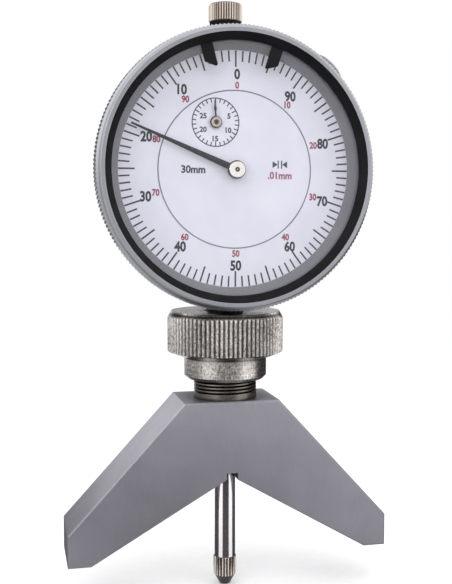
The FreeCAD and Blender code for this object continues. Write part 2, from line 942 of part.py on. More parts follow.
def make_rear_cover():
    """The rear cover: a bevelled plate with a shallow dished middle."""
    rear = -s.case_rear_depth - s.cover_thickness
    dish = case_radius - s.cover_rim_width
    body = turned(
        "rear_cover",
        [
            (0, rear + s.cover_dish_depth),
            (dish, rear + s.cover_dish_depth),
            (dish + s.cover_dish_depth, rear),
            (case_radius - s.cover_edge, rear),
            (case_radius, rear + s.cover_edge),
            (case_radius, -s.case_rear_depth),
            (0, -s.case_rear_depth),
        ],
    )
    doc.recompute()
    hole = s.screw_radius + s.press_gap
    holes = circles(body, "XY_Plane", [(x, y, hole) for x, y in boss_places], rear)
    pocket(body, holes, s.cover_thickness, onward=True)
    node("rear_cover", face_on(body))


def screw(radius, length, head_radius, head_height, slot_width, slot_depth):
    """A slotted screw: its head above the seat at zero, its shank below."""
    shank = cylinder(radius, -number(length), 0)
    head = cylinder(head_radius, 0, head_height)
    blank = head.fuse(shank).removeSplitter()
    reach = number(head_radius + over)
    corner = FreeCAD.Vector(-reach, -number(slot_width) / 2, number(head_height - slot_depth))
    slot = Part.makeBox(2 * reach, number(slot_width), number(slot_depth + over), corner)
    return blank.cut(slot)


def screw_group(name, shape, places, depth, rearward=False):
    """Copies of one screw, each with its slot turned a little further."""
    copies = []
    for index, (x, y) in enumerate(places):
        spin = FreeCAD.Rotation(Z_AXIS, index * TURN * SLOT_SHARE)
        flip = FreeCAD.Rotation(X_AXIS, TURN / 2 if rearward else 0.0)
        copy = shape.copy()
        copy.Placement = FreeCAD.Placement(
            FreeCAD.Vector(number(x), number(y), number(depth)), flip.multiply(spin)
        )
        copies.append(copy)
    return node(name, face_on(feature(name, Part.makeCompound(copies))))


def make_screws():
    large = screw(
        s.screw_radius,
        s.screw_length,
        s.screw_head_radius,
        s.screw_head_height,
        s.screw_slot_width,
        s.screw_slot_depth,
    )
    small = screw(
        s.small_screw_radius,
        s.small_screw_length,
        s.small_head_radius,
        s.small_head_height,
        s.screw_slot_width,
        s.screw_slot_depth,
    )
    rear = -s.case_rear_depth - s.cover_thickness
    screw_group("rear_cover_screws", large, boss_places, rear, rearward=True)
    screw_group("movement_screws", small, boss_places, plate_front)
    screw_group("bridge_screws", small, pillar_places, bridge_front)


def make_retaining_wire():
    """The open wire ring that keeps the bezel on the case."""
    wire = doc.addObject("Part::Torus", "retaining_wire")
    set_size(wire, "Radius1", bezel_bore)
    set_size(wire, "Radius2", s.wire_radius)
    set_size(wire, "Angle3", TURN - s.wire_gap_angle)
    node("retaining_wire", face_on(wire, depth=bezel_rear + s.bezel_overlap / 2))


def make_movement_frame():
    """Two plates on four pillars, the cock behind and the rail for the guide pin."""
    pivot = s.pivot_radius + s.running_clearance
    arbor = s.arbor_radius + s.running_clearance
    small_hole = s.small_screw_radius + s.press_gap
    window = rack_module * s.rack_pinion_teeth / 2 + rack_module + s.window_gap
    plate_holes = [
        (first_x, first_y, window),
        (0, 0, pivot),
        (takeup_x, takeup_y, pivot),
        (counter_x, counter_y, pivot),
    ] + [(x, y, small_hole) for x, y in boss_places]
    plate = flat_disc("movement_plate", plate_radius, plate_holes, plate_rear, s.plate_thickness)
    node("movement_plate", plate)
    bridge_holes = [
        (first_x, first_y, pivot),
        (0, 0, arbor),
        (takeup_x, takeup_y, pivot),
        (counter_x, counter_y, arbor),
    ] + [(x, y, small_hole) for x, y in pillar_places]
    bridge = flat_disc("movement_bridge", bridge_radius, bridge_holes, bridge_rear, s.plate_thickness)
    node("movement_bridge", bridge)
    pillar = cylinder(s.pillar_radius, plate_front, bridge_rear).cut(
        cylinder(small_hole, bridge_front - s.small_screw_length - s.press_gap, bridge_front)
    )
    pillars = []
    for x, y in pillar_places:
        copy = pillar.copy()
        copy.translate(FreeCAD.Vector(number(x), number(y), 0))
        pillars.append(copy)
    node("movement_pillars", face_on(feature("movement_pillars", Part.makeCompound(pillars))))

    # The cock stands behind the spindle on two posts and holds the rack pinion's rear pivot
    inner_side = first_x + s.cock_width / 2
    outer_side = inner_side - s.cock_length
    bar = block(
        "cock_bar",
        (outer_side, plate_rear, dial_height + first_y - s.cock_width),
        (inner_side, plate_front, dial_height + first_y + s.cock_width),
    )
    post_x = outer_side + s.cock_post_radius + s.layer_gap
    post_y = s.cock_width - s.cock_post_radius
    posts = [
        face_rod(f"cock_post_{index}", s.cock_post_radius, -plate_front, plate_rear, post_x, first_y + y)
        for index, y in enumerate((-post_y, post_y))
    ]
    pivot_hole = face_rod("cock_pivot", pivot, -plate_front - over, -plate_rear + over, first_x, first_y)
    node("pinion_cock", cut("pinion_cock", fuse("cock_solid", [bar] + posts), pivot_hole))

    # The rail's slot keeps the guide pin, and so the spindle, from turning
    rail_x = s.spindle_radius + s.rail_gap
    slot_half = s.guide_pin_radius + s.pin_clearance
    rail = block(
        "rail_bar",
        (rail_x, -plate_rear, rail_bottom),
        (rail_x + s.rail_width, slot_half + s.rail_wall, rail_bottom + rail_length),
    )
    slot = block(
        "rail_slot",
        (rail_x - over, -slot_half, slot_bottom),
        (rail_x + s.rail_width + over, slot_half, slot_bottom + slot_length),
    )
    node("guide_rail", cut("guide_rail", rail, slot))


def make_spindle():
    """The spindle: a rod with a rack on its left side and a threaded end each way."""
    bottom = spindle_bottom
    radius = s.spindle_radius
    hole = s.joint_thread_radius + s.press_gap
    body = turned(
        "spindle",
        [
            (hole, bottom),
            (radius, bottom),
            (radius, cap_bottom),
            (s.joint_thread_radius, cap_bottom),
            (s.joint_thread_radius, cap_bottom + s.cap_socket_height),
            (0, cap_bottom + s.cap_socket_height),
            (0, bottom + s.joint_thread_length),
            (hole, bottom + s.joint_thread_length),
        ],
    )
    doc.recompute()
    mesh_height = dial_height + first_y
    rack_top = mesh_height + rack_pitch * 2
    rack_teeth = whole(s.travel / rack_pitch) + s.rack_spare_teeth
    rack_bottom = rack_top - rack_pitch * rack_teeth
    flat = outline(
        body,
        "XZ_Plane",
        [
            (-radius - over, rack_bottom),
            (-rack_tip, rack_bottom),
            (-rack_tip, rack_top),
            (-radius - over, rack_top),
        ],
    )
    pocket(body, flat, 2 * (radius + over), both_ways=True)
    root_share, tip_share = RACK_SHARES
    space = mesh_height + rack_pitch * 3 / 2
    mouth = rack_pitch * (1 - tip_share) / 2
    floor = rack_pitch * (1 - root_share) / 2
    depth = (ADDENDUM_SHARE + DEDENDUM_SHARE) * rack_module
    gap = outline(
        body,
        "XZ_Plane",
        [
            (-rack_tip, space - mouth),
            (-rack_tip + depth, space - floor),
            (-rack_tip + depth, space + floor),
            (-rack_tip, space + mouth),
        ],
    )
    tooth_gap = pocket(body, gap, 2 * (radius + over), both_ways=True)
    rack = body.newObject("PartDesign::LinearPattern", "spindle_rack")
    rack.Originals = [tooth_gap]
    rack.Direction = (axis_of(body, "Z_Axis"), [""])
    rack.Reversed = True
    set_size(rack, "Length", rack_pitch * (rack_teeth - 1))
    set_size(rack, "Occurrences", rack_teeth)
    body.Tip = rack
    doc.recompute()
    cross = circles(
        body,
        "YZ_Plane",
        [(0, guide_pin_height, s.guide_pin_radius + s.press_gap)],
        radius - s.guide_pin_seat,
    )
    pocket(body, cross, radius + over, onward=True)
    node("spindle", body)


def make_spindle_ends():
    """The contact point below, the lift cap above and the guide pin between."""
    top = spindle_bottom
    bottom = top - s.contact_body_length
    tip = bottom - s.contact_cone_length
    shank = s.joint_thread_radius
    point = turned(
        "contact_blank",
        [
            (0, tip),
            (s.contact_tip_radius, tip),
            (s.contact_radius - s.contact_edge, bottom),
            (s.contact_radius, bottom + s.contact_edge),
            (s.contact_radius, top - s.contact_edge),
            (s.contact_radius - s.contact_edge, top),
            (shank, top),
            (shank, top + s.joint_thread_length - s.press_gap),
            (0, top + s.joint_thread_length - s.press_gap),
        ],
    )
    doc.recompute()
    lowest = number(tip) + number(s.contact_tip_round) / 2
    sharp = point.Tip
    rims = [
        f"Edge{index}"
        for index, edge in enumerate(sharp.Shape.Edges, start=1)
        if edge.CenterOfMass.z < lowest and isinstance(edge.Curve, Part.Circle)
    ]
    rounding = point.newObject("PartDesign::Fillet", "contact_round")
    rounding.Base = (sharp, rims)
    set_size(rounding, "Radius", s.contact_tip_round)
    ridges = knurl(
        "contact_ridges_prism",
        s.contact_radius,
        s.contact_knurl_depth,
        s.contact_ridges,
        tip - over,
        top + s.joint_thread_length + over,
    )
    node("contact_point", common("contact_point", [point, ridges]))

    cap_top = cap_bottom + s.cap_height
    socket = s.joint_thread_radius + s.press_gap
    cap = turned(
        "cap_blank",
        [
            (socket, cap_bottom),
            (cap_radius - s.cap_edge / 2, cap_bottom),
            (cap_radius, cap_bottom + s.cap_edge / 2),
            (cap_radius, cap_top - s.cap_edge),
            (cap_radius - s.cap_edge, cap_top),
            (0, cap_top),
            (0, cap_bottom + s.cap_socket_height + s.press_gap),
            (socket, cap_bottom + s.cap_socket_height + s.press_gap),
        ],
    )
    cap_ridges = knurl(
        "cap_ridges_prism", cap_radius, s.cap_knurl_depth, s.cap_ridges, cap_bottom, cap_top
    )
    node("lift_cap", common("lift_cap", [cap, cap_ridges]))

    pin = doc.addObject("Part::Cylinder", "guide_pin")
    start = s.spindle_radius - s.guide_pin_seat + s.press_gap
    set_size(pin, "Radius", s.guide_pin_radius)
    set_size(pin, "Height", s.guide_pin_reach - start)
    place(pin, start, 0, guide_pin_height, FreeCAD.Rotation(Y_AXIS, TURN / 4))
    node("guide_pin", pin)


def make_top_stop():
    """The top bush on the case and the soft ring that the lift cap rests on."""
    bush = turned(
        "top_bush",
        [
            (spindle_bore, dial_height + case_inner),
            (s.top_bush_radius, dial_height + case_inner),
            (s.top_bush_radius, top_boss_top),
            (collar_radius, top_boss_top),
            (collar_radius, collar_top),
            (spindle_bore, collar_top),
        ],
    )
    node("top_bush", bush)
    ring = tube(
        "cushion_ring", collar_radius, s.spindle_radius + s.cushion_gap, collar_top, cushion_top
    )
    node("cushion_ring", ring)


def direction(x, y):
    """The angle of a place, seen face on."""
    return math.degrees(math.atan2(number(y), number(x)))


def make_gear_train():
    """Rack pinion and first wheel, centre pinion, take-up wheel and counter wheel."""
    to_centre = direction(-first_x, -first_y)
    from_centre = direction(first_x, first_y)
    to_takeup = direction(takeup_x, takeup_y)
    centre_pitch = TURN / number(s.centre_teeth)
    pivot_rear = plate_rear + s.running_clearance

    # The first wheel has a tooth, and the centre pinion a space, on their line of centres
    rack_teeth_prism = gear(
        s.rack_pinion_teeth,
        rack_module,
        PINION_SHARES,
        -s.pinion_face / 2,
        s.pinion_face / 2,
        TURN / number(s.rack_pinion_teeth) / 2,
    )
    first_arbor = rack_teeth_prism.multiFuse(
        [
            cylinder(s.pivot_radius, -plate_front, -plate_rear + s.running_clearance),
            cylinder(s.arbor_radius, -plate_rear + s.running_clearance, bridge_rear - s.running_clearance),
            cylinder(s.pivot_radius, bridge_rear - s.running_clearance, bridge_front),
        ]
    )
    node("rack_pinion", face_on(feature("rack_pinion", first_arbor), first_x, first_y))
    seat = s.arbor_radius + s.press_gap
    wheel = gear(
        s.wheel_teeth,
        fine_module,
        WHEEL_SHARES,
        first_layer,
        first_layer + s.wheel_thickness,
        to_centre,
    )
    hub = cylinder(s.hub_radius, first_layer, first_layer + layer_step)
    first_wheel = wheel.fuse(hub).cut(cylinder(seat, first_layer - over, first_layer + 2 * layer_step))
    node("first_wheel", face_on(feature("first_wheel", first_wheel), first_x, first_y))

    centre = gear(
        s.centre_teeth,
        fine_module,
        PINION_SHARES,
        first_layer - s.layer_gap / 2,
        first_layer + s.wheel_thickness + s.layer_gap / 2,
        from_centre + centre_pitch / 2,
    )
    centre_arbor = centre.multiFuse(
        [
            cylinder(s.pivot_radius, pivot_rear, first_layer - s.layer_gap / 2),
            cylinder(s.arbor_radius, first_layer + s.wheel_thickness, main_hub_front - s.hub_edge),
            cylinder(s.pivot_radius, main_hub_front - s.hub_edge, main_hub_front),
        ]
    )
    node("centre_pinion", face_on(feature("centre_pinion", centre_arbor)))

    # The take-up wheel's tooth follows the pinion's space nearest to its line of centres
    offset = (from_centre - to_takeup + centre_pitch / 2) % centre_pitch - centre_pitch / 2
    takeup_phase = to_takeup + TURN / 2 - offset * number(s.centre_teeth) / number(s.wheel_teeth)
    takeup_wheel = gear(
        s.wheel_teeth,
        fine_module,
        WHEEL_SHARES,
        first_layer,
        first_layer + s.wheel_thickness,
        takeup_phase,
    ).cut(cylinder(seat, first_layer - over, second_layer))
    node("takeup_wheel", face_on(feature("takeup_wheel", takeup_wheel), takeup_x, takeup_y))
    to_counter = direction(counter_x - takeup_x, counter_y - takeup_y)
    collet = s.hub_radius - s.layer_gap / 4
    takeup_pinion = gear(
        s.takeup_teeth,
        counter_module,
        PINION_SHARES,
        second_layer - s.layer_gap / 2,
        second_layer + s.wheel_thickness + s.layer_gap / 2,
        to_counter + TURN / number(s.takeup_teeth) / 2,
    ).multiFuse(
        [
            cylinder(s.pivot_radius, pivot_rear, plate_front + s.running_clearance),
            cylinder(s.arbor_radius, plate_front + s.running_clearance, bridge_rear - s.running_clearance),
            cylinder(collet, hairspring_layer, hairspring_layer + s.hairspring_height),
            cylinder(s.pivot_radius, bridge_rear - s.running_clearance, bridge_front),
        ]
    )
    node("takeup_pinion", face_on(feature("takeup_pinion", takeup_pinion), takeup_x, takeup_y))

    counter = gear(
        s.counter_teeth,
        counter_module,
        WHEEL_SHARES,
        second_layer,
        second_layer + s.wheel_thickness,
        to_counter + TURN / 2,
    ).multiFuse(
        [
            cylinder(s.pivot_radius, pivot_rear, plate_front + s.running_clearance),
            cylinder(s.arbor_radius, plate_front + s.running_clearance, small_hub_front - s.hub_edge),
            cylinder(s.pivot_radius, small_hub_front - s.hub_edge, small_hub_front),
        ]
    )
    node("counter_wheel", face_on(feature("counter_wheel", counter), counter_x, counter_y))


def make_springs():
    """The spindle's return spring, its anchor, the hairspring and its stud."""
    spring_x = s.guide_pin_reach - s.layer_gap * 2
    case_floor = dial_height - root(case_inner * case_inner - spring_x * spring_x)
    anchor_height = case_floor + s.spring_anchor_rise
    anchor_y = anchor_height - dial_height
    anchor_radius = s.spring_anchor_radius
    anchor = face_rod("spring_anchor", anchor_radius, -s.spring_radius, plate_rear, spring_x, anchor_y)
    node("spring_anchor", anchor)
    bottom = anchor_height + s.spring_anchor_radius + s.spring_end_gap + s.spring_wire
    top = guide_pin_height - s.guide_pin_radius - s.spring_end_gap - s.spring_wire
    coil_radius = number(s.spring_radius - s.spring_wire)
    rise = number(top - bottom)
    helix = Part.makeHelix(rise / number(s.spring_turns), rise, coil_radius)
    start = FreeCAD.Vector(coil_radius, 0, 0)
    section = Part.Wire(Part.makeCircle(number(s.spring_wire), start, Y_AXIS))
    coil = Part.Wire(helix.Edges).makePipeShell([section], True, True)
    spring = feature("return_spring", coil)
    node("return_spring", place(spring, spring_x, 0, bottom))

    turns = int(number(s.hairspring_turns))
    steps = turns * POINTS_PER_TURN
    inner = number(s.hairspring_inner)
    growth = (number(s.hairspring_outer) - inner) / steps
    strip = number(s.hairspring_strip)
    low = number(hairspring_layer)
    sides = []
    for side in (-strip / 2, strip / 2):
        curve = Part.BSplineCurve()
        curve.interpolate(
            [
                ring_point(inner + growth * step + side, TURN * step / POINTS_PER_TURN, low)
                for step in range(steps + 1)
            ]
        )
        sides.append(curve.toShape())
    ends = [
        Part.makeLine(sides[0].valueAt(edge_end(sides[0], end)), sides[1].valueAt(edge_end(sides[1], end)))
        for end in (0, 1)
    ]
    face = Part.Face(Part.Wire(Part.__sortEdges__(sides + ends)))
    spiral = face.extrude(FreeCAD.Vector(0, 0, number(s.hairspring_height)))
    node("hairspring", face_on(feature("hairspring", spiral), takeup_x, takeup_y))
    stud_x = takeup_x + s.hairspring_outer + s.hairspring_strip / 2 + s.stud_radius + s.press_gap
    stud = face_rod("hairspring_stud", s.stud_radius, hairspring_layer, bridge_rear, stud_x, takeup_y)
    node("hairspring_stud", stud)


def edge_end(edge, end):
    return edge.LastParameter if end else edge.FirstParameter


def make_dials():
    """The fixed inner dial on its feet and the scale ring that turns with the bezel."""
    arbor_hole = s.arbor_radius + s.dial_hole_gap
    holes = [(0, 0, arbor_hole), (counter_x, counter_y, arbor_hole)]
    disc = new_body("dial_disc")
    pad(disc, circles(disc, "XY_Plane", [(0, 0, dial_disc_radius)], dial_rear), s.dial_thickness)
    pocket(disc, circles(disc, "XY_Plane", holes, dial_rear), s.dial_thickness, onward=True)
    foot_ring = dial_disc_radius - s.dial_foot_inset
    start = foot_ring * cosine(s.dial_foot_angle)
    rise = foot_ring * sine(s.dial_foot_angle)
    foot_sketch = circles(disc, "XY_Plane", [(start, rise, s.dial_foot_radius)], bridge_front)
    foot = pad(disc, foot_sketch, s.dial_foot_height)
    polar(disc, foot, s.dial_feet)
    node("dial_disc", face_on(disc))
    ring = tube(
        "scale_ring",
        seat_radius - s.press_gap,
        scale_inner,
        dial_rear,
        dial_front,
    )
    node("scale_ring", face_on(ring))


def make_bezel():
    """The knurled bezel, stepped inside for the scale ring, crystal and black ring."""
    edge = s.bezel_edge
    skirt = bezel_bore + s.bezel_skirt_wall
    groove = bezel_rear + s.bezel_overlap / 2
    half = s.groove_width / 2
    blank = turned(
        "bezel_blank",
        [
            (bezel_bore, bezel_rear),
            (skirt, bezel_rear),
            (skirt, rim_rear - edge),
            (bezel_rim_radius - edge, rim_rear),
            (bezel_rim_radius, rim_rear + edge),
            (bezel_rim_radius, rim_front - edge),
            (bezel_rim_radius - edge, rim_front),
            (bezel_front_radius, rim_front + edge),
            (bezel_front_radius, bezel_front - edge),
            (bezel_front_radius - edge, bezel_front),
            (seat_radius, bezel_front),
            (seat_radius, dial_rear),
            (bezel_bore, dial_rear),
            (bezel_bore, groove + half),
            (bezel_bore + s.groove_depth, groove + half),
            (bezel_bore + s.groove_depth, groove - half),
            (bezel_bore, groove - half),
        ],
    )
    ridges = knurl(
        "bezel_ridges_prism",
        bezel_rim_radius,
        s.bezel_knurl_depth,
        s.bezel_ridges,
        bezel_rear - over,
        bezel_front + over,
    )
    node("bezel", face_on(common("bezel", [blank, ridges])))

    outer = seat_radius - s.press_gap
    wall = turned(
        "dial_wall",
        [
            (seat_radius - s.dial_wall_width, dial_front),
            (outer, dial_front),
            (outer, crystal_rear),
            (seat_radius - s.dial_wall_rim, crystal_rear),
        ],
    )
    node("dial_wall", face_on(wall))
    crystal = turned(
        "crystal",
        [(0, crystal_rear), (outer, crystal_rear), (outer, crystal_front), (0, crystal_front)],
    )
    node("crystal", face_on(crystal))
    ring_inner = seat_radius - s.crystal_ring_width
    ring = turned(
        "crystal_ring",
        [
            (ring_inner, ring_rear),
            (outer, ring_rear),
            (outer, ring_front),
            (ring_inner, ring_rear + s.crystal_ring_lip),
        ],
    )
    node("crystal_ring", face_on(ring))


def make_limit_marker(name, angle, pointed_side):
    """A flat marker: an arc foot under the black ring and a finger over the scale."""
    outer = number(seat_radius - s.press_gap * 2)
    inner = outer - number(s.marker_foot_width)
    low = number(crystal_front + (s.marker_slot - s.marker_thickness) / 2)
    height = number(s.marker_thickness)
    sweep = number(s.marker_foot_angle)
    base = FreeCAD.Vector(0, 0, low)
    foot = Part.makeCylinder(outer, height, base, Z_AXIS, sweep)
    foot = foot.cut(Part.makeCylinder(inner, height, base, Z_AXIS, sweep))
    foot.rotate(FreeCAD.Vector(), Z_AXIS, (TURN / 2 - sweep) / 2)
    half = number(s.marker_width) / 2
    reach = outer - number(s.marker_reach)
    corners = [
        (-half, (inner + outer) / 2),
        (-half, reach + number(s.marker_slant)),
        (half, reach),
        (half, (inner + outer) / 2),
    ]
    points = [FreeCAD.Vector(pointed_side * x, y, low) for x, y in corners]
    finger = Part.Face(Part.makePolygon(points + points[:1])).extrude(FreeCAD.Vector(0, 0, height))
    tips = [edge for edge in finger.Edges if edge.CenterOfMass.y < inner and abs(edge.tangentAt(0).z) > 0]
    rounded = finger.makeFillet(number(s.marker_round), tips)
    marker = foot.fuse(rounded).removeSplitter()
    node(name, face_on(feature(name, marker), turn=angle))


def roof(width, ridge, place_y, low):
    """A three-cornered section across a pointer."""
    corners = [
        FreeCAD.Vector(-width / 2, place_y, low),
        FreeCAD.Vector(width / 2, place_y, low),
        FreeCAD.Vector(0, place_y, low + ridge),
    ]
    return Part.makePolygon(corners + corners[:1])


def pointer_hub(name, radius, rear, front):
    """A round hub with its front edge broken and a hole for the arbor."""
    disc = cylinder(radius, rear, front)
    middle = number(rear + front) / 2
    rim = [
        edge for edge in disc.Edges if isinstance(edge.Curve, Part.Circle) and edge.CenterOfMass.z > middle
    ]
    bevelled = disc.makeChamfer(number(s.hub_edge), rim)
    return feature(name, bevelled.cut(cylinder(s.arbor_radius + s.press_gap, rear - over, front + over)))


def make_pointers():
    """The long ridged pointer and the small pointer, each with its hub."""
    low = number(main_pointer_rear)
    thick = number(s.main_pointer_thickness)
    length = number(seat_radius - s.dial_wall_width - s.pointer_tip_gap)
    blade = Part.makeLoft(
        [
            roof(number(s.main_pointer_root), thick, 0.0, low),
            roof(number(s.main_pointer_tip), thick / 2, length, low),
        ],
        True,
        True,
    )
    seat = s.arbor_radius + s.press_gap
    boss_low = low - thick
    boss = cylinder(s.main_hub_radius + s.boss_rim, boss_low, low + thick)
    bore = cylinder(seat, boss_low - number(over), low + 2 * thick)
    main = blade.fuse(boss).cut(bore)
    node("main_pointer", face_on(feature("main_pointer", main), turn=ANGLES["main_pointer_angle"]))
    hub = pointer_hub("main_pointer_hub", s.main_hub_radius, main_hub_rear, main_hub_front)
    node("main_pointer_hub", face_on(hub))

    small_low = number(small_pointer_rear)
    small_thick = number(s.small_pointer_thickness)
    half = number(s.small_pointer_width) / 2
    swell = number(s.small_pointer_swell_place)
    side = [
        (half, 0.0),
        (half, swell - number(s.small_pointer_swell_reach)),
        (number(s.small_pointer_swell) / 2, swell),
        (half, swell + number(s.small_pointer_swell_reach)),
        (number(s.small_pointer_tip) / 2, number(s.small_pointer_length)),
    ]
    corners = side + [(-x, y) for x, y in reversed(side)]
    points = [FreeCAD.Vector(x, y, small_low) for x, y in corners]
    hand = Part.Face(Part.makePolygon(points + points[:1])).extrude(FreeCAD.Vector(0, 0, small_thick))
    disc = cylinder(s.small_hub_radius + s.boss_rim, small_low, small_low + small_thick)
    hand = hand.fuse(disc).cut(cylinder(seat, small_low - number(over), small_low + number(over)))
    small = feature("small_pointer", hand)
    face_on(small, counter_x, counter_y, turn=ANGLES["small_pointer_angle"])
    node("small_pointer", small)
    small_hub = pointer_hub("small_pointer_hub", s.small_hub_radius, small_hub_rear, small_hub_front)
    node("small_pointer_hub", face_on(small_hub, counter_x, counter_y))


def make_bezel_clamp():
    """The thumb screw on the case's shoulder and the shoe that it presses down."""
    shoe_low = case_radius + s.shoe_gap
    shoe_high = shoe_low + s.shoe_height
    neck_top = shoe_high + s.clamp_neck_height
    head_top = neck_top + s.clamp_head_height
    reach = s.clamp_head_radius
    blank = turned(
        "clamp_blank",
        [
            (0, case_inner),
            (s.clamp_thread_radius, case_inner),
            (s.clamp_thread_radius, shoe_high),
            (s.clamp_neck_radius, shoe_high),
            (s.clamp_neck_radius, neck_top),
            (reach - s.clamp_head_edge, neck_top),
            (reach, neck_top + s.clamp_head_edge),
            (reach, head_top - s.clamp_head_edge),
            (reach - s.clamp_head_edge, head_top),
            (0, head_top),
        ],
    )
    ridges = knurl(
        "clamp_ridges_prism", reach, s.clamp_knurl_depth, s.clamp_ridges, case_inner - over, head_top + over
    )
    node("bezel_clamp_screw", radial(common("bezel_clamp_screw", [blank, ridges]), 0))

    sector = number(s.shoe_angle)
    rear = number(s.clamp_depth - s.clamp_thread_radius - s.shoe_rear_margin)
    front = number(bezel_rear - s.shoe_gap)
    base = FreeCAD.Vector(0, 0, rear)
    shoe = Part.makeCylinder(number(shoe_high), front - rear, base, Z_AXIS, sector)
    shoe = shoe.cut(Part.makeCylinder(number(shoe_low), front - rear, base, Z_AXIS, sector))
    start = TURN / 4 - ANGLES["clamp_angle"] - sector / 2
    shoe.rotate(FreeCAD.Vector(), Z_AXIS, start)
    inward = ring_point(number(case_inner), TURN / 4 - ANGLES["clamp_angle"], number(s.clamp_depth))
    outward = ring_point(1.0, TURN / 4 - ANGLES["clamp_angle"])
    hole = Part.makeCylinder(
        number(s.clamp_thread_radius + s.press_gap), number(shoe_high - case_inner + over), inward, outward
    )
    node("clamp_shoe", face_on(feature("clamp_shoe", shoe.cut(hole))))


make_base()
make_collet()
make_clamp_nut()
make_stem()
make_case()
make_rear_cover()
make_screws()
make_retaining_wire()
make_movement_frame()
make_spindle()
make_spindle_ends()
make_top_stop()
make_gear_train()
make_springs()
make_dials()
make_bezel()
make_limit_marker("limit_marker_left", ANGLES["left_marker_angle"], 1)
make_limit_marker("limit_marker_right", ANGLES["right_marker_angle"], -1)
make_pointers()
make_bezel_clamp()

doc.recompute()
broken = [f"{obj.Label} {obj.State}" for obj in doc.Objects if {"Invalid", "Error"} & set(obj.State)]
for name, obj in nodes.items():
    if obj.Shape.isNull() or not obj.Shape.isValid() or not obj.Shape.Solids:
        broken.append(f"{name} has no sound solid")
if broken:
    raise SystemExit("\n".join(broken))
os.makedirs("parts", exist_ok=True)
for name, obj in nodes.items():
    obj.Shape.exportStep(f"parts/{name}.step")
print(len(nodes), "nodes")
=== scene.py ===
# Looks of the depth gauge: materials, printed dial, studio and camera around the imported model
import json
import math
import bmesh
import bpy
from mathutils import Matrix, Vector


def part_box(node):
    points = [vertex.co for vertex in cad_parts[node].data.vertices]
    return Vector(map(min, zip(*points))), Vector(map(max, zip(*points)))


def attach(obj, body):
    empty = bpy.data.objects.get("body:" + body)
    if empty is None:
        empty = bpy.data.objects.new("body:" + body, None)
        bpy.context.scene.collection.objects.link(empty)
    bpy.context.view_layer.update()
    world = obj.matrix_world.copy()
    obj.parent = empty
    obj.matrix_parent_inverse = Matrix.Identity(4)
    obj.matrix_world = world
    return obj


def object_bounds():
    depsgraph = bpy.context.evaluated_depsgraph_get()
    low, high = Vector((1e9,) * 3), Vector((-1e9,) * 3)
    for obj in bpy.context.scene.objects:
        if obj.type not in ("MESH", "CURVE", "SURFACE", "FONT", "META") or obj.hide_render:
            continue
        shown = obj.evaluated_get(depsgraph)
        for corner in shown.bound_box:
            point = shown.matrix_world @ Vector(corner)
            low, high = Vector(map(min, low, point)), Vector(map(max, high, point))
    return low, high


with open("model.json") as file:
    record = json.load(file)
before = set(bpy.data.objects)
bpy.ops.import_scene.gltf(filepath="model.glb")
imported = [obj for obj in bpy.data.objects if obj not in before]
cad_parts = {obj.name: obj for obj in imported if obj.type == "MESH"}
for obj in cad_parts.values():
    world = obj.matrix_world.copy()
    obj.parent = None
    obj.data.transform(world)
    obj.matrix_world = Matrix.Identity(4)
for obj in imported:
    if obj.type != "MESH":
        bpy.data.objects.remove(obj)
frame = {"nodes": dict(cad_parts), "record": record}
cad_low, cad_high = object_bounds()

MM = 0.001
TURN = 2 * math.pi

# Camera, fitted to the photograph: place, angles in radians, lens in millimetres for a 36 mm sensor
CAMERA_PLACE = Vector((-46.56, -203.59, 73.59)) * MM
CAMERA_YAW = 0.2257
CAMERA_PITCH = -0.0757
CAMERA_ROLL = -0.0014
CAMERA_LENS = 57.92
CAMERA_NEAR = 0.01
CAMERA_FAR = 10.0

# Dial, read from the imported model
ring_low, ring_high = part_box("scale_ring")
disc_low, disc_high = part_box("dial_disc")
small_low, small_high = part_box("counter_wheel")
DIAL_CENTRE = (ring_low + ring_high) / 2
DIAL_FACE = ring_low.y
SMALL_CENTRE = (small_low + small_high) / 2


# Materials

# Rays per point, how far a rounded normal turns on an edge that is worn and painted with a highlight, how
# open a corner with painted shade is
RAY_SAMPLES = 6
EDGE_MATCH = (0.995, 0.9)
CORNER_OPEN = (0.45, 0.92)

# Spans of the noises that are stretched to the full range
NOISE_SPAN = (0.3, 0.7)
SPOT_SPAN = (0.35, 0.65)
GRAIN_SPAN = (0.6, 1.4)
SMEAR_SPAN = (0.4, 0.7)


def srgb(red, green, blue):
    """A colour as the eye reads it, 0 to 255, in the linear values that a shader takes."""
    def linear(value):
        share = value / 255
        return share / 12.92 if share <= 0.04045 else ((share + 0.055) / 1.055) ** 2.4
    return (linear(red), linear(green), linear(blue), 1.0)


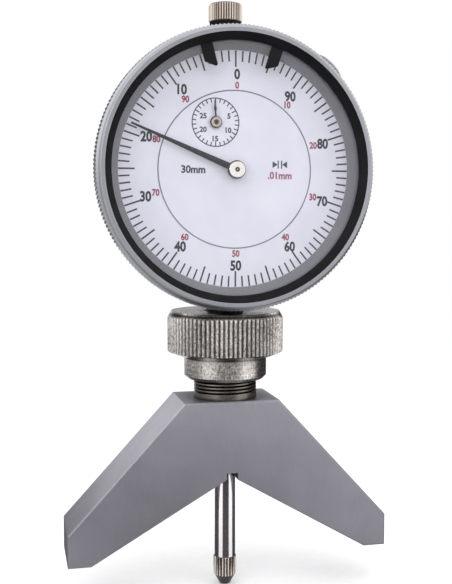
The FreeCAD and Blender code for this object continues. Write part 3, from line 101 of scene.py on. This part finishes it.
class Look:
    """A procedural material, or the world, built node by node."""

    def __init__(self, name, kind=bpy.data.materials):
        self.material = kind.new(name)
        self.material.use_nodes = True
        self.tree = self.material.node_tree
        self.tree.nodes.clear()
        self.place = self.add("ShaderNodeTexCoord").outputs["Object"]

    def add(self, kind, sockets=(), **settings):
        """A node with its settings, each socket linked or set to a constant."""
        made = self.tree.nodes.new(kind)
        for key, value in settings.items():
            setattr(made, key, value)
        for name, value in dict(sockets).items():
            socket = made.inputs[name]
            if isinstance(value, bpy.types.NodeSocket):
                self.tree.links.new(value, socket)
            else:
                socket.default_value = value
        return made

    def scaled(self, per_mm, place=None):
        """Coordinates with that many noise cells per millimetre along x, y and z."""
        steps = tuple(count / MM for count in per_mm)
        sockets = {"Vector": place or self.place, "Scale": steps}
        return self.add("ShaderNodeMapping", sockets).outputs["Vector"]

    def noise(self, vector, detail=2.0, roughness=0.5):
        sockets = {"Vector": vector, "Scale": 1.0, "Detail": detail, "Roughness": roughness}
        return self.add("ShaderNodeTexNoise", sockets).outputs["Fac"]

    def spread(self, value, low, high, new_low, new_high):
        """The value's range from low to high, stretched to the new range and held there."""
        sockets = {"Value": value, "From Min": low, "From Max": high, "To Min": new_low, "To Max": new_high}
        return self.add("ShaderNodeMapRange", sockets).outputs["Result"]

    def mixed(self, share, low, high):
        """The colour that many parts of the way from low to high."""
        made = self.add("ShaderNodeMix", {0: share, 6: low, 7: high}, data_type="RGBA")
        return made.outputs[2]

    def math(self, operation, first, second=0.0):
        return self.add("ShaderNodeMath", {0: first, 1: second}, operation=operation).outputs["Value"]

    def vector(self, operation, first, second=(0.0, 0.0, 0.0)):
        return self.add("ShaderNodeVectorMath", {0: first, 1: second}, operation=operation)

    def around(self, axis, centre):
        """Coordinates of a turned piece: distance from the axis, place along it."""
        flat = tuple(0.0 if name == axis else 1.0 for name in "xyz")
        offset = self.vector("SUBTRACT", self.place, tuple(centre)).outputs["Vector"]
        across = self.vector("MULTIPLY", offset, flat).outputs["Vector"]
        distance = self.vector("LENGTH", across).outputs["Value"]
        along = self.add("ShaderNodeSeparateXYZ", {"Vector": offset}).outputs[axis.upper()]
        return self.add("ShaderNodeCombineXYZ", {"X": distance, "Y": along}).outputs["Vector"]

    def edges(self, radius):
        """1 on edges, which are worn and also carry a painted highlight, 0 on flat faces, with the rounded
        normal.
        """
        rounded = self.add("ShaderNodeBevel", {"Radius": radius * MM}, samples=RAY_SAMPLES).outputs["Normal"]
        straight = self.add("ShaderNodeNewGeometry").outputs["Normal"]
        match = self.vector("DOT_PRODUCT", rounded, straight).outputs["Value"]
        return self.spread(match, *EDGE_MATCH, 0.0, 1.0), rounded

    def recesses(self, distance):
        """1 in corners and grooves, 0 in the open."""
        corner = self.add("ShaderNodeAmbientOcclusion", {"Distance": distance * MM}, samples=RAY_SAMPLES)
        return self.spread(corner.outputs["AO"], *CORNER_OPEN, 1.0, 0.0)

    def between(self, place, start, full, last, end):
        """1 from full to last, 0 before start and after end: distances from a turned piece's axis."""
        distance = self.add("ShaderNodeSeparateXYZ", {"Vector": place}).outputs["X"]
        rise = self.spread(distance, start * MM, full * MM, 0.0, 1.0)
        return self.math("MULTIPLY", rise, self.spread(distance, last * MM, end * MM, 1.0, 0.0))

    def painted_shade_mask(self, place, reach, bands):
        """Painted shade in corners up to the reach and in the bands of a turned piece."""
        shares = [self.recesses(reach)] if reach else []
        shares += [self.between(place, *band) for band in bands]
        total = shares[0]
        for share in shares[1:]:
            total = self.math("MAXIMUM", total, share)
        return total

    def bump(self, height, strength, depth, normal):
        sockets = {"Height": height, "Strength": strength, "Distance": depth * MM, "Normal": normal}
        return self.add("ShaderNodeBump", sockets).outputs["Normal"]

    def finish(self, sockets):
        """The material, with one plain surface that takes these sockets."""
        surface = self.add("ShaderNodeBsdfPrincipled", sockets)
        self.output(surface.outputs["BSDF"])
        return self.material

    def output(self, socket):
        self.add("ShaderNodeOutputMaterial", {"Surface": socket})


# Metal: noise cells per millimetre, shares of the bright worn and highlighted edges and of painted shade,
# relief and range of gloss
PATCH_CELLS = (0.12, 0.12, 0.12)
GRIT_CELLS = (9.0, 9.0, 9.0)
SPOT_CELLS = 3.2
WORN_AND_HIGHLIGHT_SHARE = 0.7
PAINTED_SHADE_SHARE = 0.92
LOW_SHADE_SHARE = 0.45
METAL_RELIEF = 0.35
METAL_GLOSS = (0.8, 1.25)


def metal(name, colour, shade, roughness, grain, speckle=0.0, axis=None, centre=(0, 0, 0),
          edge_radius=0.15, bright=None, painted_shade=None, reach=0.8, bands=(), mottle=0.0, streak=SPOT_CELLS,
          shade_height=0.0, depth=0.004, metallic=1.0):
    """Machined metal: grain along the cut, patches of tone, bright edges that are worn metal and a painted
    highlight, and painted shade in the grooves.

    The painted shade lies in corners up to the reach and in bands of distances from the axis. The
    mottle has that many streaks per millimetre of height. Towards the bottom, up to the given height, the
    metal darkens with painted shade.
    """
    look = Look(name)
    place = look.around(axis, centre) if axis else look.place
    lines = look.noise(look.scaled(grain, place), detail=4.0, roughness=0.6)
    patches = look.noise(look.scaled(PATCH_CELLS), detail=3.0)
    grit = look.noise(look.scaled(GRIT_CELLS), detail=2.0)
    spots = look.noise(look.scaled((SPOT_CELLS, SPOT_CELLS, streak)), detail=3.0, roughness=0.7)
    halves = [look.spread(part, *NOISE_SPAN, 0.0, 0.5) for part in (lines, patches)]
    tone = look.math("ADD", *halves)
    tone = look.math("ADD", tone, look.spread(spots, *SPOT_SPAN, -mottle, mottle))
    body = look.mixed(tone, srgb(*shade), srgb(*colour))
    # Bright edges: worn metal, and a painted highlight along every edge
    worn_and_highlit, rounded = look.edges(edge_radius)
    body = look.mixed(look.math("MULTIPLY", worn_and_highlit, WORN_AND_HIGHLIGHT_SHARE), body, srgb(*(bright or colour)))
    # Painted shade: darker towards the bottom, up to the given height
    if shade_height:
        level = look.add("ShaderNodeSeparateXYZ", {"Vector": look.place}).outputs["Z"]
        body = look.mixed(look.spread(level, 0.0, shade_height * MM, LOW_SHADE_SHARE, 0.0), body, srgb(*painted_shade))
    # Painted shade in corners, in grooves and in the listed bands of a turned piece
    if painted_shade:
        shaded = look.math("MULTIPLY", look.painted_shade_mask(place, reach, bands), PAINTED_SHADE_SHARE)
        body = look.mixed(shaded, body, srgb(*painted_shade))
    gloss_range = [roughness * share for share in METAL_GLOSS]
    relief = look.math("ADD", lines, look.math("MULTIPLY", grit, speckle))
    return look.finish({
        "Base Color": body,
        "Metallic": metallic,
        "Roughness": look.spread(look.math("ADD", lines, grit), *GRAIN_SPAN, *gloss_range),
        "Normal": look.bump(relief, METAL_RELIEF, depth, rounded),
    })


# Paint: noise cells per millimetre, rounding of the edges, relief and range of gloss
PEEL_CELLS = (6.0, 6.0, 6.0)
FADE_CELLS = (0.15, 0.15, 0.15)
PAINT_EDGE = 0.08
PAINT_RELIEF = 0.3
PAINT_GLOSS = (0.85, 1.15)


def painted(name, colour, shade, roughness=0.5, depth=0.003, shine=0.4):
    """Paint, enamel, rubber, plastic or ink: fine orange peel and slow changes of tone."""
    look = Look(name)
    peel = look.noise(look.scaled(PEEL_CELLS), detail=3.0)
    patches = look.noise(look.scaled(FADE_CELLS), detail=3.0)
    gloss_range = [roughness * share for share in PAINT_GLOSS]
    rounded = look.edges(PAINT_EDGE)[1]
    return look.finish({
        "Base Color": look.mixed(look.spread(patches, *NOISE_SPAN, 0.0, 1.0), srgb(*shade), srgb(*colour)),
        "Roughness": look.spread(peel, *NOISE_SPAN, *gloss_range),
        "Specular IOR Level": shine,
        "Normal": look.bump(peel, PAINT_RELIEF, depth, rounded),
    })


# Glass
PANE_TINT = (0.985, 0.99, 1.0, 1.0)
PANE_IOR = 1.45
SMEAR_CELLS = (0.08, 0.08, 0.3)
SMEAR_ROUGHNESS = 0.03


def glass(name):
    """Clear pane that lets the lamps through, with faint wipe marks in its gloss."""
    look = Look(name)
    smears = look.noise(look.scaled(SMEAR_CELLS), detail=4.0)
    pane = look.add("ShaderNodeBsdfPrincipled", {
        "Base Color": PANE_TINT,
        "Roughness": look.spread(smears, *SMEAR_SPAN, 0.0, SMEAR_ROUGHNESS),
        "IOR": PANE_IOR,
        "Transmission Weight": 1.0,
    })
    clear = look.add("ShaderNodeBsdfTransparent")
    lamp_ray = look.add("ShaderNodeLightPath").outputs["Is Shadow Ray"]
    surfaces = {0: lamp_ray, 1: pane.outputs["BSDF"], 2: clear.outputs["BSDF"]}
    look.output(look.add("ShaderNodeMixShader", surfaces).outputs["Shader"])
    return look.material


# Grain: noise cells per millimetre, along the axes or by distance and height of a turned piece
SIDEWAYS = {"grain": (0.25, 6.0, 6.0)}
UPRIGHT = {"grain": (6.0, 6.0, 0.25)}
TURNED_GRAIN = (7.0, 7.0, 0.0)
TURNED = {"grain": TURNED_GRAIN, "axis": "z"}
DIAL_TURNED = {"grain": TURNED_GRAIN, "axis": "y", "centre": DIAL_CENTRE}
SMALL_TURNED = {"grain": TURNED_GRAIN, "axis": "y", "centre": SMALL_CENTRE}
BRASS = {"colour": (222, 190, 118), "shade": (196, 162, 92)}

# Colours as the eye reads them, 0 to 255. Sizes in millimetres
# Painted shade: each metal's darkest colour lies in corners up to the reach and in bands round the axis:
# knurl and groove floors, round the bores and arbors, at the hubs' rims and on the contact point's tip
METALS = {
    "satin_steel": dict(colour=(170, 169, 178), shade=(152, 150, 160), roughness=0.48, **UPRIGHT,
                        edge_radius=0.12, bright=(190, 189, 197), painted_shade=(20, 19, 21), reach=8.0,
                        mottle=0.12, shade_height=44.0, metallic=0.6),
    "dark_steel": dict(colour=(142, 136, 130), shade=(96, 90, 85), roughness=0.34, **TURNED,
                       edge_radius=0.06, painted_shade=(20, 16, 14), mottle=0.4),
    "satin_nickel": dict(colour=(226, 220, 216), shade=(112, 106, 102), roughness=0.26, **TURNED,
                         speckle=2.4, edge_radius=0.1, bright=(236, 232, 228), painted_shade=(36, 31, 29), reach=3.0,
                         bands=[(12.1, 12.3, 12.48, 12.72)], mottle=0.5, streak=1.6, depth=0.014),
    "polished_steel": dict(colour=(240, 236, 237), shade=(228, 223, 225), roughness=0.12, **TURNED,
                           edge_radius=0.08, depth=0.001),
    # Painted shade: dull_steel is a darkened copy of the polished steel, for a part that stands in shade
    "dull_steel": dict(colour=(96, 92, 92), shade=(70, 66, 66), roughness=0.4, **TURNED,
                       painted_shade=(16, 15, 15), reach=4.0),
    "bronze": dict(colour=(196, 152, 98), shade=(168, 124, 76), roughness=0.3, **TURNED),
    "case_chrome": dict(colour=(178, 178, 183), shade=(160, 160, 165), roughness=0.3, **DIAL_TURNED,
                        depth=0.002),
    "screw_chrome": dict(colour=(150, 150, 154), shade=(132, 132, 136), roughness=0.32, **SIDEWAYS,
                         edge_radius=0.05, painted_shade=(14, 13, 13), reach=0.7),
    "screw_steel": dict(colour=(190, 190, 194), shade=(158, 158, 162), roughness=0.25, **SIDEWAYS,
                        edge_radius=0.06, painted_shade=(50, 48, 46)),
    "spring_steel": dict(colour=(164, 166, 176), shade=(126, 128, 138), roughness=0.25, **UPRIGHT),
    "movement_brass": dict(**BRASS, roughness=0.3, **SIDEWAYS, edge_radius=0.06, painted_shade=(110, 82, 42)),
    "pinion_steel": dict(colour=(176, 176, 182), shade=(140, 140, 146), roughness=0.22, **DIAL_TURNED),
    "pointer_metal": dict(colour=(38, 38, 46), shade=(25, 25, 33), roughness=0.4, **SIDEWAYS, edge_radius=0.04),
    "hub_metal": dict(colour=(246, 243, 238), shade=(230, 225, 218), roughness=0.2, **DIAL_TURNED,
                      edge_radius=0.05, painted_shade=(44, 40, 38), reach=0.0,
                      bands=[(0.3, 0.36, 0.42, 0.5), (1.7, 1.76, 1.9, 2.0)]),
    "small_hub_metal": dict(colour=(204, 193, 186), shade=(172, 159, 150), roughness=0.26, **SMALL_TURNED,
                            edge_radius=0.05, painted_shade=(44, 36, 31), reach=0.0,
                            bands=[(0.3, 0.36, 0.46, 0.56), (1.06, 1.12, 1.3, 1.4)]),
    "arbor_steel": dict(colour=(210, 206, 200), shade=(182, 176, 168), roughness=0.22, **DIAL_TURNED,
                        edge_radius=0.05, painted_shade=(24, 21, 20), reach=0.0, bands=[(0.1, 0.18, 0.52, 0.56)]),
    "arbor_brass": dict(**BRASS, roughness=0.28, **SMALL_TURNED,
                        edge_radius=0.05, painted_shade=(34, 27, 22), reach=0.0, bands=[(-1.0, 0.0, 0.52, 0.56)]),
    "cap_steel": dict(colour=(190, 178, 167), shade=(160, 147, 136), roughness=0.3, **TURNED,
                      edge_radius=0.06, bright=(216, 206, 196), painted_shade=(34, 28, 24), reach=0.0,
                      bands=[(3.1, 3.3, 3.42, 3.58)]),
    "contact_steel": dict(colour=(248, 238, 228), shade=(216, 203, 192), roughness=0.26, **TURNED,
                          edge_radius=0.04, painted_shade=(30, 27, 25), reach=0.0,
                          bands=[(-1.0, 0.0, 2.38, 2.54)], mottle=0.3),
    "bezel_chrome": dict(colour=(154, 155, 160), shade=(138, 139, 144), roughness=0.32, **DIAL_TURNED,
                         edge_radius=0.12, bright=(196, 196, 201), painted_shade=(40, 40, 43), reach=0.6, depth=0.003),
}
INK = {"depth": 0.001, "shine": 0.2}
PAINTS = {
    "dial_white": dict(colour=(234, 232, 244), shade=(227, 225, 238)),
    "wall_grey": dict(colour=(128, 127, 134), shade=(118, 117, 124), shine=0.3),
    "black_rubber": dict(colour=(24, 24, 24), shade=(16, 16, 16), roughness=0.7, depth=0.008, shine=0.08),
    "black_plastic": dict(colour=(25, 25, 28), shade=(16, 16, 19), roughness=0.45, shine=0.08),
    "black_paint": dict(colour=(24, 24, 26), shade=(16, 16, 18), roughness=0.45, shine=0.1),
    "black_ink": dict(colour=(30, 29, 38), shade=(22, 21, 30), **INK),
    "grey_ink": dict(colour=(60, 60, 72), shade=(48, 48, 60), **INK),
    # Painted shadow: the grey of the line along the seam between the two dials
    "seam_shadow_ink": dict(colour=(126, 125, 141), shade=(115, 114, 130), **INK),
    "red_ink": dict(colour=(156, 58, 84), shade=(142, 48, 72), **INK),
    "faded_red_ink": dict(colour=(166, 104, 119), shade=(152, 90, 106), **INK),
}

LOOKS = {name: metal(name, **values) for name, values in METALS.items()}
LOOKS.update({name: painted(name, **values) for name, values in PAINTS.items()})
LOOKS["crystal"] = glass("crystal")


def dress(obj, look):
    obj.data.materials.clear()
    obj.data.materials.append(LOOKS[look])


for part in frame["record"]["subparts"]:
    dress(frame["nodes"][part["node"]], part["material_slot"])


# Printed dial: ink raised a hair above the painted faces

INK_HEIGHT = 0.01 * MM
INK_SUNK = 0.005 * MM
NUMERAL_WIDTH_SHARE = 0.84
NUMERAL_WEIGHT = 0.040
LETTER_STEPS = 3
ARC_STEPS = 96


class Print:
    """One colour of ink on one moving part, collected as a mesh."""

    def __init__(self, name, body, slot, look):
        self.mesh = bmesh.new()
        self.name = name
        self.body = body
        self.slot = slot
        self.look = look

    def at(self, x, y, centre, depth):
        """A place on the dial, right and up of the centre in millimetres."""
        return Vector((centre.x + x * MM, DIAL_FACE + depth, centre.z + y * MM))

    def plate(self, points, centre=DIAL_CENTRE):
        """A flat closed patch of ink. Points are right and up of the centre, in millimetres."""
        rear = [self.mesh.verts.new(self.at(x, y, centre, INK_SUNK)) for x, y in points]
        front = [self.mesh.verts.new(self.at(x, y, centre, -INK_HEIGHT)) for x, y in points]
        self.mesh.faces.new(rear)
        self.mesh.faces.new(list(reversed(front)))
        for index, corner in enumerate(rear):
            after = (index + 1) % len(rear)
            self.mesh.faces.new([corner, front[index], front[after], rear[after]])

    def tick(self, angle, outer, length, width, centre=DIAL_CENTRE):
        """A line of the scale, angle counter-clockwise from the top."""
        inner = outer - length
        points = [(-width / 2, inner), (width / 2, inner), (width / 2, outer), (-width / 2, outer)]
        turned = [
            (x * math.cos(angle) - y * math.sin(angle), x * math.sin(angle) + y * math.cos(angle))
            for x, y in points
        ]
        self.plate(turned, centre)

    def arc(self, radius, width, centre):
        """A closed ring of ink."""
        inner, outer = radius - width / 2, radius + width / 2
        for index in range(ARC_STEPS):
            first, second = TURN * index / ARC_STEPS, TURN * (index + 1) / ARC_STEPS
            corners = [(inner, first), (outer, first), (outer, second), (inner, second)]
            points = [(reach * math.cos(angle), reach * math.sin(angle)) for reach, angle in corners]
            self.plate(points, centre)

    def word(self, text, height, x, y, centre=DIAL_CENTRE, width_share=NUMERAL_WIDTH_SHARE):
        """Upright lettering with its middle at x, y: unit letters brought to size."""
        curve = bpy.data.curves.new("lettering", "FONT")
        curve.body = text
        curve.size = 1.0
        curve.resolution_u = LETTER_STEPS
        curve.offset = NUMERAL_WEIGHT
        curve.extrude = 1.0 / 2
        letters = bpy.data.objects.new("lettering", curve)
        bpy.context.scene.collection.objects.link(letters)
        bpy.context.view_layer.update()
        shape = letters.evaluated_get(bpy.context.evaluated_depsgraph_get()).to_mesh()
        low = Vector(map(min, *(vertex.co for vertex in shape.vertices)))
        high = Vector(map(max, *(vertex.co for vertex in shape.vertices)))
        tall = height * MM / (high.y - low.y)
        middle = (low + high) / 2
        thickness = INK_HEIGHT + INK_SUNK
        depth = (INK_SUNK - INK_HEIGHT) / 2
        seat = Matrix.Translation(self.at(x, y, centre, depth))
        stand = Matrix.Rotation(TURN / 4, 4, "X")
        size = Matrix.Diagonal((tall * width_share, tall, thickness, 1.0))
        shape.transform(seat @ stand @ size @ Matrix.Translation(-middle))
        self.mesh.from_mesh(shape)
        bpy.data.objects.remove(letters)
        bpy.data.curves.remove(curve)

    def finish(self):
        bmesh.ops.recalc_face_normals(self.mesh, faces=self.mesh.faces)
        mesh = bpy.data.meshes.new(self.name)
        self.mesh.to_mesh(mesh)
        self.mesh.free()
        piece = bpy.data.objects.new(self.name, mesh)
        bpy.context.scene.collection.objects.link(piece)
        dress(piece, self.look)
        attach(piece, self.body)


# Scale of the outer dial. Places are middles of the figures, right and up of the dial's centre
SCALE_MARKS = 100
SCALE_RADIUS = 24.75
LONG_EVERY = 5
SHORT_MARK = 2.3
LONG_MARK = 3.4
MARK_WIDTH = 0.33
LONG_MARK_WIDTH = 0.35
NUMERAL_STEP = 10
BLACK_HEIGHT = 2.25
RED_HEIGHT = 1.5
BLACK_PLACES = [
    (0.3, 19.9), (-11.4, 16.4), (-18.9, 6.6), (-19.1, -5.7), (-11.9, -16.1),
    (0.1, -20.2), (12.0, -16.2), (19.2, -6.5), (19.2, 5.8), (11.9, 15.6),
]
RED_PLACES = [
    (0.3, 17.6), (11.3, 13.8), (17.1, 5.4), (17.1, -5.6), (11.0, -14.2),
    (0.1, -17.65), (-10.9, -14.1), (-17.0, -4.9), (-16.8, 6.1), (-10.7, 14.4),
]

marks = Print("scale_marks", "bezel", "dial_white", "black_ink")
for index in range(SCALE_MARKS):
    long = index % LONG_EVERY == 0
    marks.tick(
        TURN * index / SCALE_MARKS,
        SCALE_RADIUS,
        LONG_MARK if long else SHORT_MARK,
        LONG_MARK_WIDTH if long else MARK_WIDTH,
    )
marks.finish()

for name, look, height, places in [
    ("scale_numerals", "black_ink", BLACK_HEIGHT, BLACK_PLACES),
    ("reverse_numerals", "red_ink", RED_HEIGHT, RED_PLACES),
]:
    numerals = Print(name, "bezel", "dial_white", look)
    for index, (x, y) in enumerate(places):
        numerals.word(str(index * NUMERAL_STEP), height, x, y)
    numerals.finish()

# Counter dial for whole turns
SMALL_RADIUS = 5.0
SMALL_MARKS = 30
SMALL_MARK = 0.85
SMALL_LONG_MARK = 1.0
SMALL_MARK_WIDTH = 0.23
SMALL_LINE = 0.22
SMALL_STEP = 5
SMALL_NUMERAL = 1.18
SMALL_WIDTH_SHARE = 1.0
SMALL_PLACES = [(2.85, 1.35), (2.75, -1.6), (-0.05, -3.4), (-2.65, -1.5), (-2.65, 1.3)]

counter = Print("counter_print", "indicator", "dial_white", "grey_ink")
counter.arc(SMALL_RADIUS, SMALL_LINE, SMALL_CENTRE)
for index in range(SMALL_MARKS):
    length = SMALL_LONG_MARK if index % SMALL_STEP == 0 else SMALL_MARK
    counter.tick(TURN * index / SMALL_MARKS, SMALL_RADIUS, length, SMALL_MARK_WIDTH, SMALL_CENTRE)
for index, (x, y) in enumerate(SMALL_PLACES, start=1):
    counter.word(str(index * SMALL_STEP), SMALL_NUMERAL, x, y, SMALL_CENTRE, SMALL_WIDTH_SHARE)
counter.finish()

# Painted shadow: a fine grey line along the seam between the two dials, where the step between them is
# shaded
SEAM_WIDTH = 0.26
SEAM_REACH = 0.09
seam_radius = (disc_high.x - disc_low.x) / 2 / MM
seam = Print("seam_shadow_line", "indicator", "dial_white", "seam_shadow_ink")
seam.arc(seam_radius + SEAM_REACH - SEAM_WIDTH / 2, SEAM_WIDTH, DIAL_CENTRE)
seam.finish()

# Words: the measuring range on the left, the value of one mark on the right
RANGE_PLACE = (-9.06, 0.0)
RANGE_HEIGHT = 1.7
VALUE_PLACE = (9.7, -1.1)
VALUE_HEIGHT = 1.6
WORD_WIDTH_SHARE = 0.95
ARROWS_PLACE = (9.7, 1.2)
ARROW_REACH = 0.38
ARROW_LENGTH = 1.1
ARROW_HALF = 0.72
BAR_WIDTH = 0.26
BAR_HALF = 0.85

words = Print("range_print", "indicator", "dial_white", "grey_ink")
words.word("30mm", RANGE_HEIGHT, *RANGE_PLACE, width_share=WORD_WIDTH_SHARE)
arrows_x, arrows_y = ARROWS_PLACE
for side in (-1, 1):
    inner, outer = (arrows_x + side * (ARROW_REACH + step * BAR_WIDTH / 2) for step in (-1, 1))
    tail = outer + side * ARROW_LENGTH
    low, high = arrows_y - BAR_HALF, arrows_y + BAR_HALF
    words.plate([(inner, low), (outer, low), (outer, high), (inner, high)])
    words.plate([(outer, arrows_y), (tail, arrows_y - ARROW_HALF), (tail, arrows_y + ARROW_HALF)])
words.finish()

value_words = Print("value_print", "indicator", "dial_white", "faded_red_ink")
value_words.word(".01mm", VALUE_HEIGHT, *VALUE_PLACE, width_share=WORD_WIDTH_SHARE)
value_words.finish()


# Studio, in metres: pale floor, soft lamps, and cloth round the object that only the metal's gloss shows

FLOOR_RADIUS = 0.9
FLOOR_FADE = (0.10, 0.45)
FLOOR_COLOUR = (0.84, 0.84, 0.845, 1.0)
FLOOR_SHADE = (0.81, 0.81, 0.815, 1.0)
FLOOR_CELLS = (0.4, 0.4, 0.4)
FLOOR_GLOW = 0.16
BACKDROP = (1.0, 1.0, 1.0, 1.0)
FILL = (0.6, 0.6, 0.605, 1.0)
RIM_STEP = 4

# Lamps: name, azimuth and elevation in degrees, width, height, watts
LAMP_DISTANCE = 0.60
LAMPS = [
    ("key", -48, 32, 0.70, 0.70, 2.1),
    ("fill", 52, 22, 0.50, 0.60, 1.4),
    ("top", 20, 78, 0.60, 0.60, 1.0),
    ("rear_right", 140, 32, 0.60, 0.60, 1.1),
    ("rear_left", 215, 32, 0.60, 0.60, 1.1),
]

CLOTH_CELLS = (0.6, 0.6, 0.6)
CLOTH_ROUGHNESS = 0.9
CLOTH_LIFT = 0.2 * MM
CLOTH_INNER = 0.012
CLOTH_RADIUS = 0.085
CLOTH_LOW_TOP = 0.028
CLOTH_MIDDLE_TOP = 0.066
CLOTH_HIGH_TOP = 0.190


def turned_up(top):
    """Distances and heights of a cloth that lies on the floor and turns up at its far side."""
    low = cad_low.z + CLOTH_LIFT
    return [(CLOTH_INNER, low), (CLOTH_RADIUS, low), (CLOTH_RADIUS, top)]


# Cloths: name, first and last azimuth, distances and heights, two colours of the weave
DARK = (srgb(44, 43, 46), srgb(60, 58, 61))
GREY = (srgb(116, 116, 119), srgb(102, 102, 105))
CLOTHS = [
    ("cloth_front", -37, 31, turned_up(CLOTH_LOW_TOP), DARK),
    ("cloth_right", 75, 155, turned_up(CLOTH_MIDDLE_TOP), DARK),
    ("cloth_left", 199, 279, turned_up(CLOTH_LOW_TOP), DARK),
    ("cloth_grey", 125, 245, [(CLOTH_RADIUS, CLOTH_MIDDLE_TOP), (CLOTH_RADIUS, CLOTH_HIGH_TOP)], GREY),
]


def seen_directly(look):
    """1 for rays that show the backdrop itself: from the camera, in a mirror or through glass."""
    path = look.add("ShaderNodeLightPath").outputs
    shown = look.math("MAXIMUM", path["Is Camera Ray"], path["Is Glossy Ray"])
    shown = look.math("MAXIMUM", shown, path["Is Transmission Ray"])
    before_bounce = look.math("LESS_THAN", path["Diffuse Depth"], 0.5)
    return look.math("MULTIPLY", shown, before_bounce)


def stage_piece(name, points, faces, material):
    mesh = bpy.data.meshes.new(name)
    mesh.from_pydata(points, [], faces)
    mesh.materials.append(material)
    piece = bpy.data.objects.new(name, mesh)
    bpy.context.scene.collection.objects.link(piece)
    return piece


def round_about(azimuth, radius, height):
    """A place round the object, azimuth in degrees from the front towards the right."""
    angle = math.radians(azimuth)
    return Vector((radius * math.sin(angle), -radius * math.cos(angle), height))


def make_floor():
    """A pale disc that takes the shadow and fades into the backdrop."""
    look = Look("pale_floor")
    distance = look.vector("LENGTH", look.place).outputs["Value"]
    fade = look.spread(distance, *FLOOR_FADE, 0.0, 1.0)
    speckle = look.noise(look.scaled(FLOOR_CELLS), detail=3.0)
    colour = look.mixed(look.spread(speckle, *NOISE_SPAN, 0.0, 1.0), FLOOR_COLOUR, FLOOR_SHADE)
    matt = look.add("ShaderNodeBsdfDiffuse", {"Color": colour})
    strength = look.math("MULTIPLY", seen_directly(look), FLOOR_GLOW)
    glow = look.add("ShaderNodeEmission", {"Color": BACKDROP, "Strength": strength})
    lit = look.add("ShaderNodeAddShader", {0: matt.outputs["BSDF"], 1: glow.outputs["Emission"]})
    clear = look.add("ShaderNodeBsdfTransparent")
    surfaces = {0: fade, 1: lit.outputs["Shader"], 2: clear.outputs["BSDF"]}
    look.output(look.add("ShaderNodeMixShader", surfaces).outputs["Shader"])
    rim = [round_about(azimuth, FLOOR_RADIUS, 0.0) for azimuth in range(0, 360, RIM_STEP)]
    floor = stage_piece("floor", rim, [range(len(rim))], look.material)
    floor.location.z = cad_low.z


def make_world():
    look = Look("studio", bpy.data.worlds)
    shade = look.mixed(seen_directly(look), FILL, BACKDROP)
    light = look.add("ShaderNodeBackground", {"Color": shade})
    look.add("ShaderNodeOutputWorld", {"Surface": light.outputs["Background"]})
    bpy.context.scene.world = look.material


def make_lamp(name, azimuth, elevation, width, height, watts):
    """A soft lamp that faces the object's middle."""
    data = bpy.data.lights.new(name, "AREA")
    data.shape = "RECTANGLE"
    data.size = width
    data.size_y = height
    data.energy = watts
    lamp = bpy.data.objects.new(name, data)
    rise = math.radians(elevation)
    offset = round_about(azimuth, LAMP_DISTANCE * math.cos(rise), LAMP_DISTANCE * math.sin(rise))
    lamp.location = (cad_low + cad_high) / 2 + offset
    lamp.rotation_euler = offset.to_track_quat("Z", "Y").to_euler()
    bpy.context.scene.collection.objects.link(lamp)


def make_cloth(name, start, stop, profile, colours):
    """A strip of cloth between two azimuths."""
    look = Look(name)
    weave = look.noise(look.scaled(CLOTH_CELLS), detail=2.0)
    look.finish({"Base Color": look.mixed(weave, *colours), "Roughness": CLOTH_ROUGHNESS})
    azimuths = range(start, stop + 1, RIM_STEP)
    points = [round_about(azimuth, *corner) for azimuth in azimuths for corner in profile]
    faces = []
    for step in range(len(azimuths) - 1):
        for corner in range(len(profile) - 1):
            first = step * len(profile) + corner
            faces.append((first, first + 1, first + 1 + len(profile), first + len(profile)))
    cloth = stage_piece(name, points, faces, look.material)
    cloth.visible_camera = False
    cloth.visible_diffuse = False
    cloth.visible_shadow = False


make_floor()
make_world()
for lamp in LAMPS:
    make_lamp(*lamp)
for cloth in CLOTHS:
    make_cloth(*cloth)


# Camera

def make_camera():
    data = bpy.data.cameras.new("camera")
    data.lens = CAMERA_LENS
    data.clip_start = CAMERA_NEAR
    data.clip_end = CAMERA_FAR
    camera = bpy.data.objects.new("camera", data)
    camera.location = CAMERA_PLACE
    camera.rotation_euler = (TURN / 4 + CAMERA_PITCH, CAMERA_ROLL, -CAMERA_YAW)
    bpy.context.scene.collection.objects.link(camera)
    bpy.context.scene.camera = camera


make_camera()
bpy.context.scene.view_settings.view_transform = "Standard"
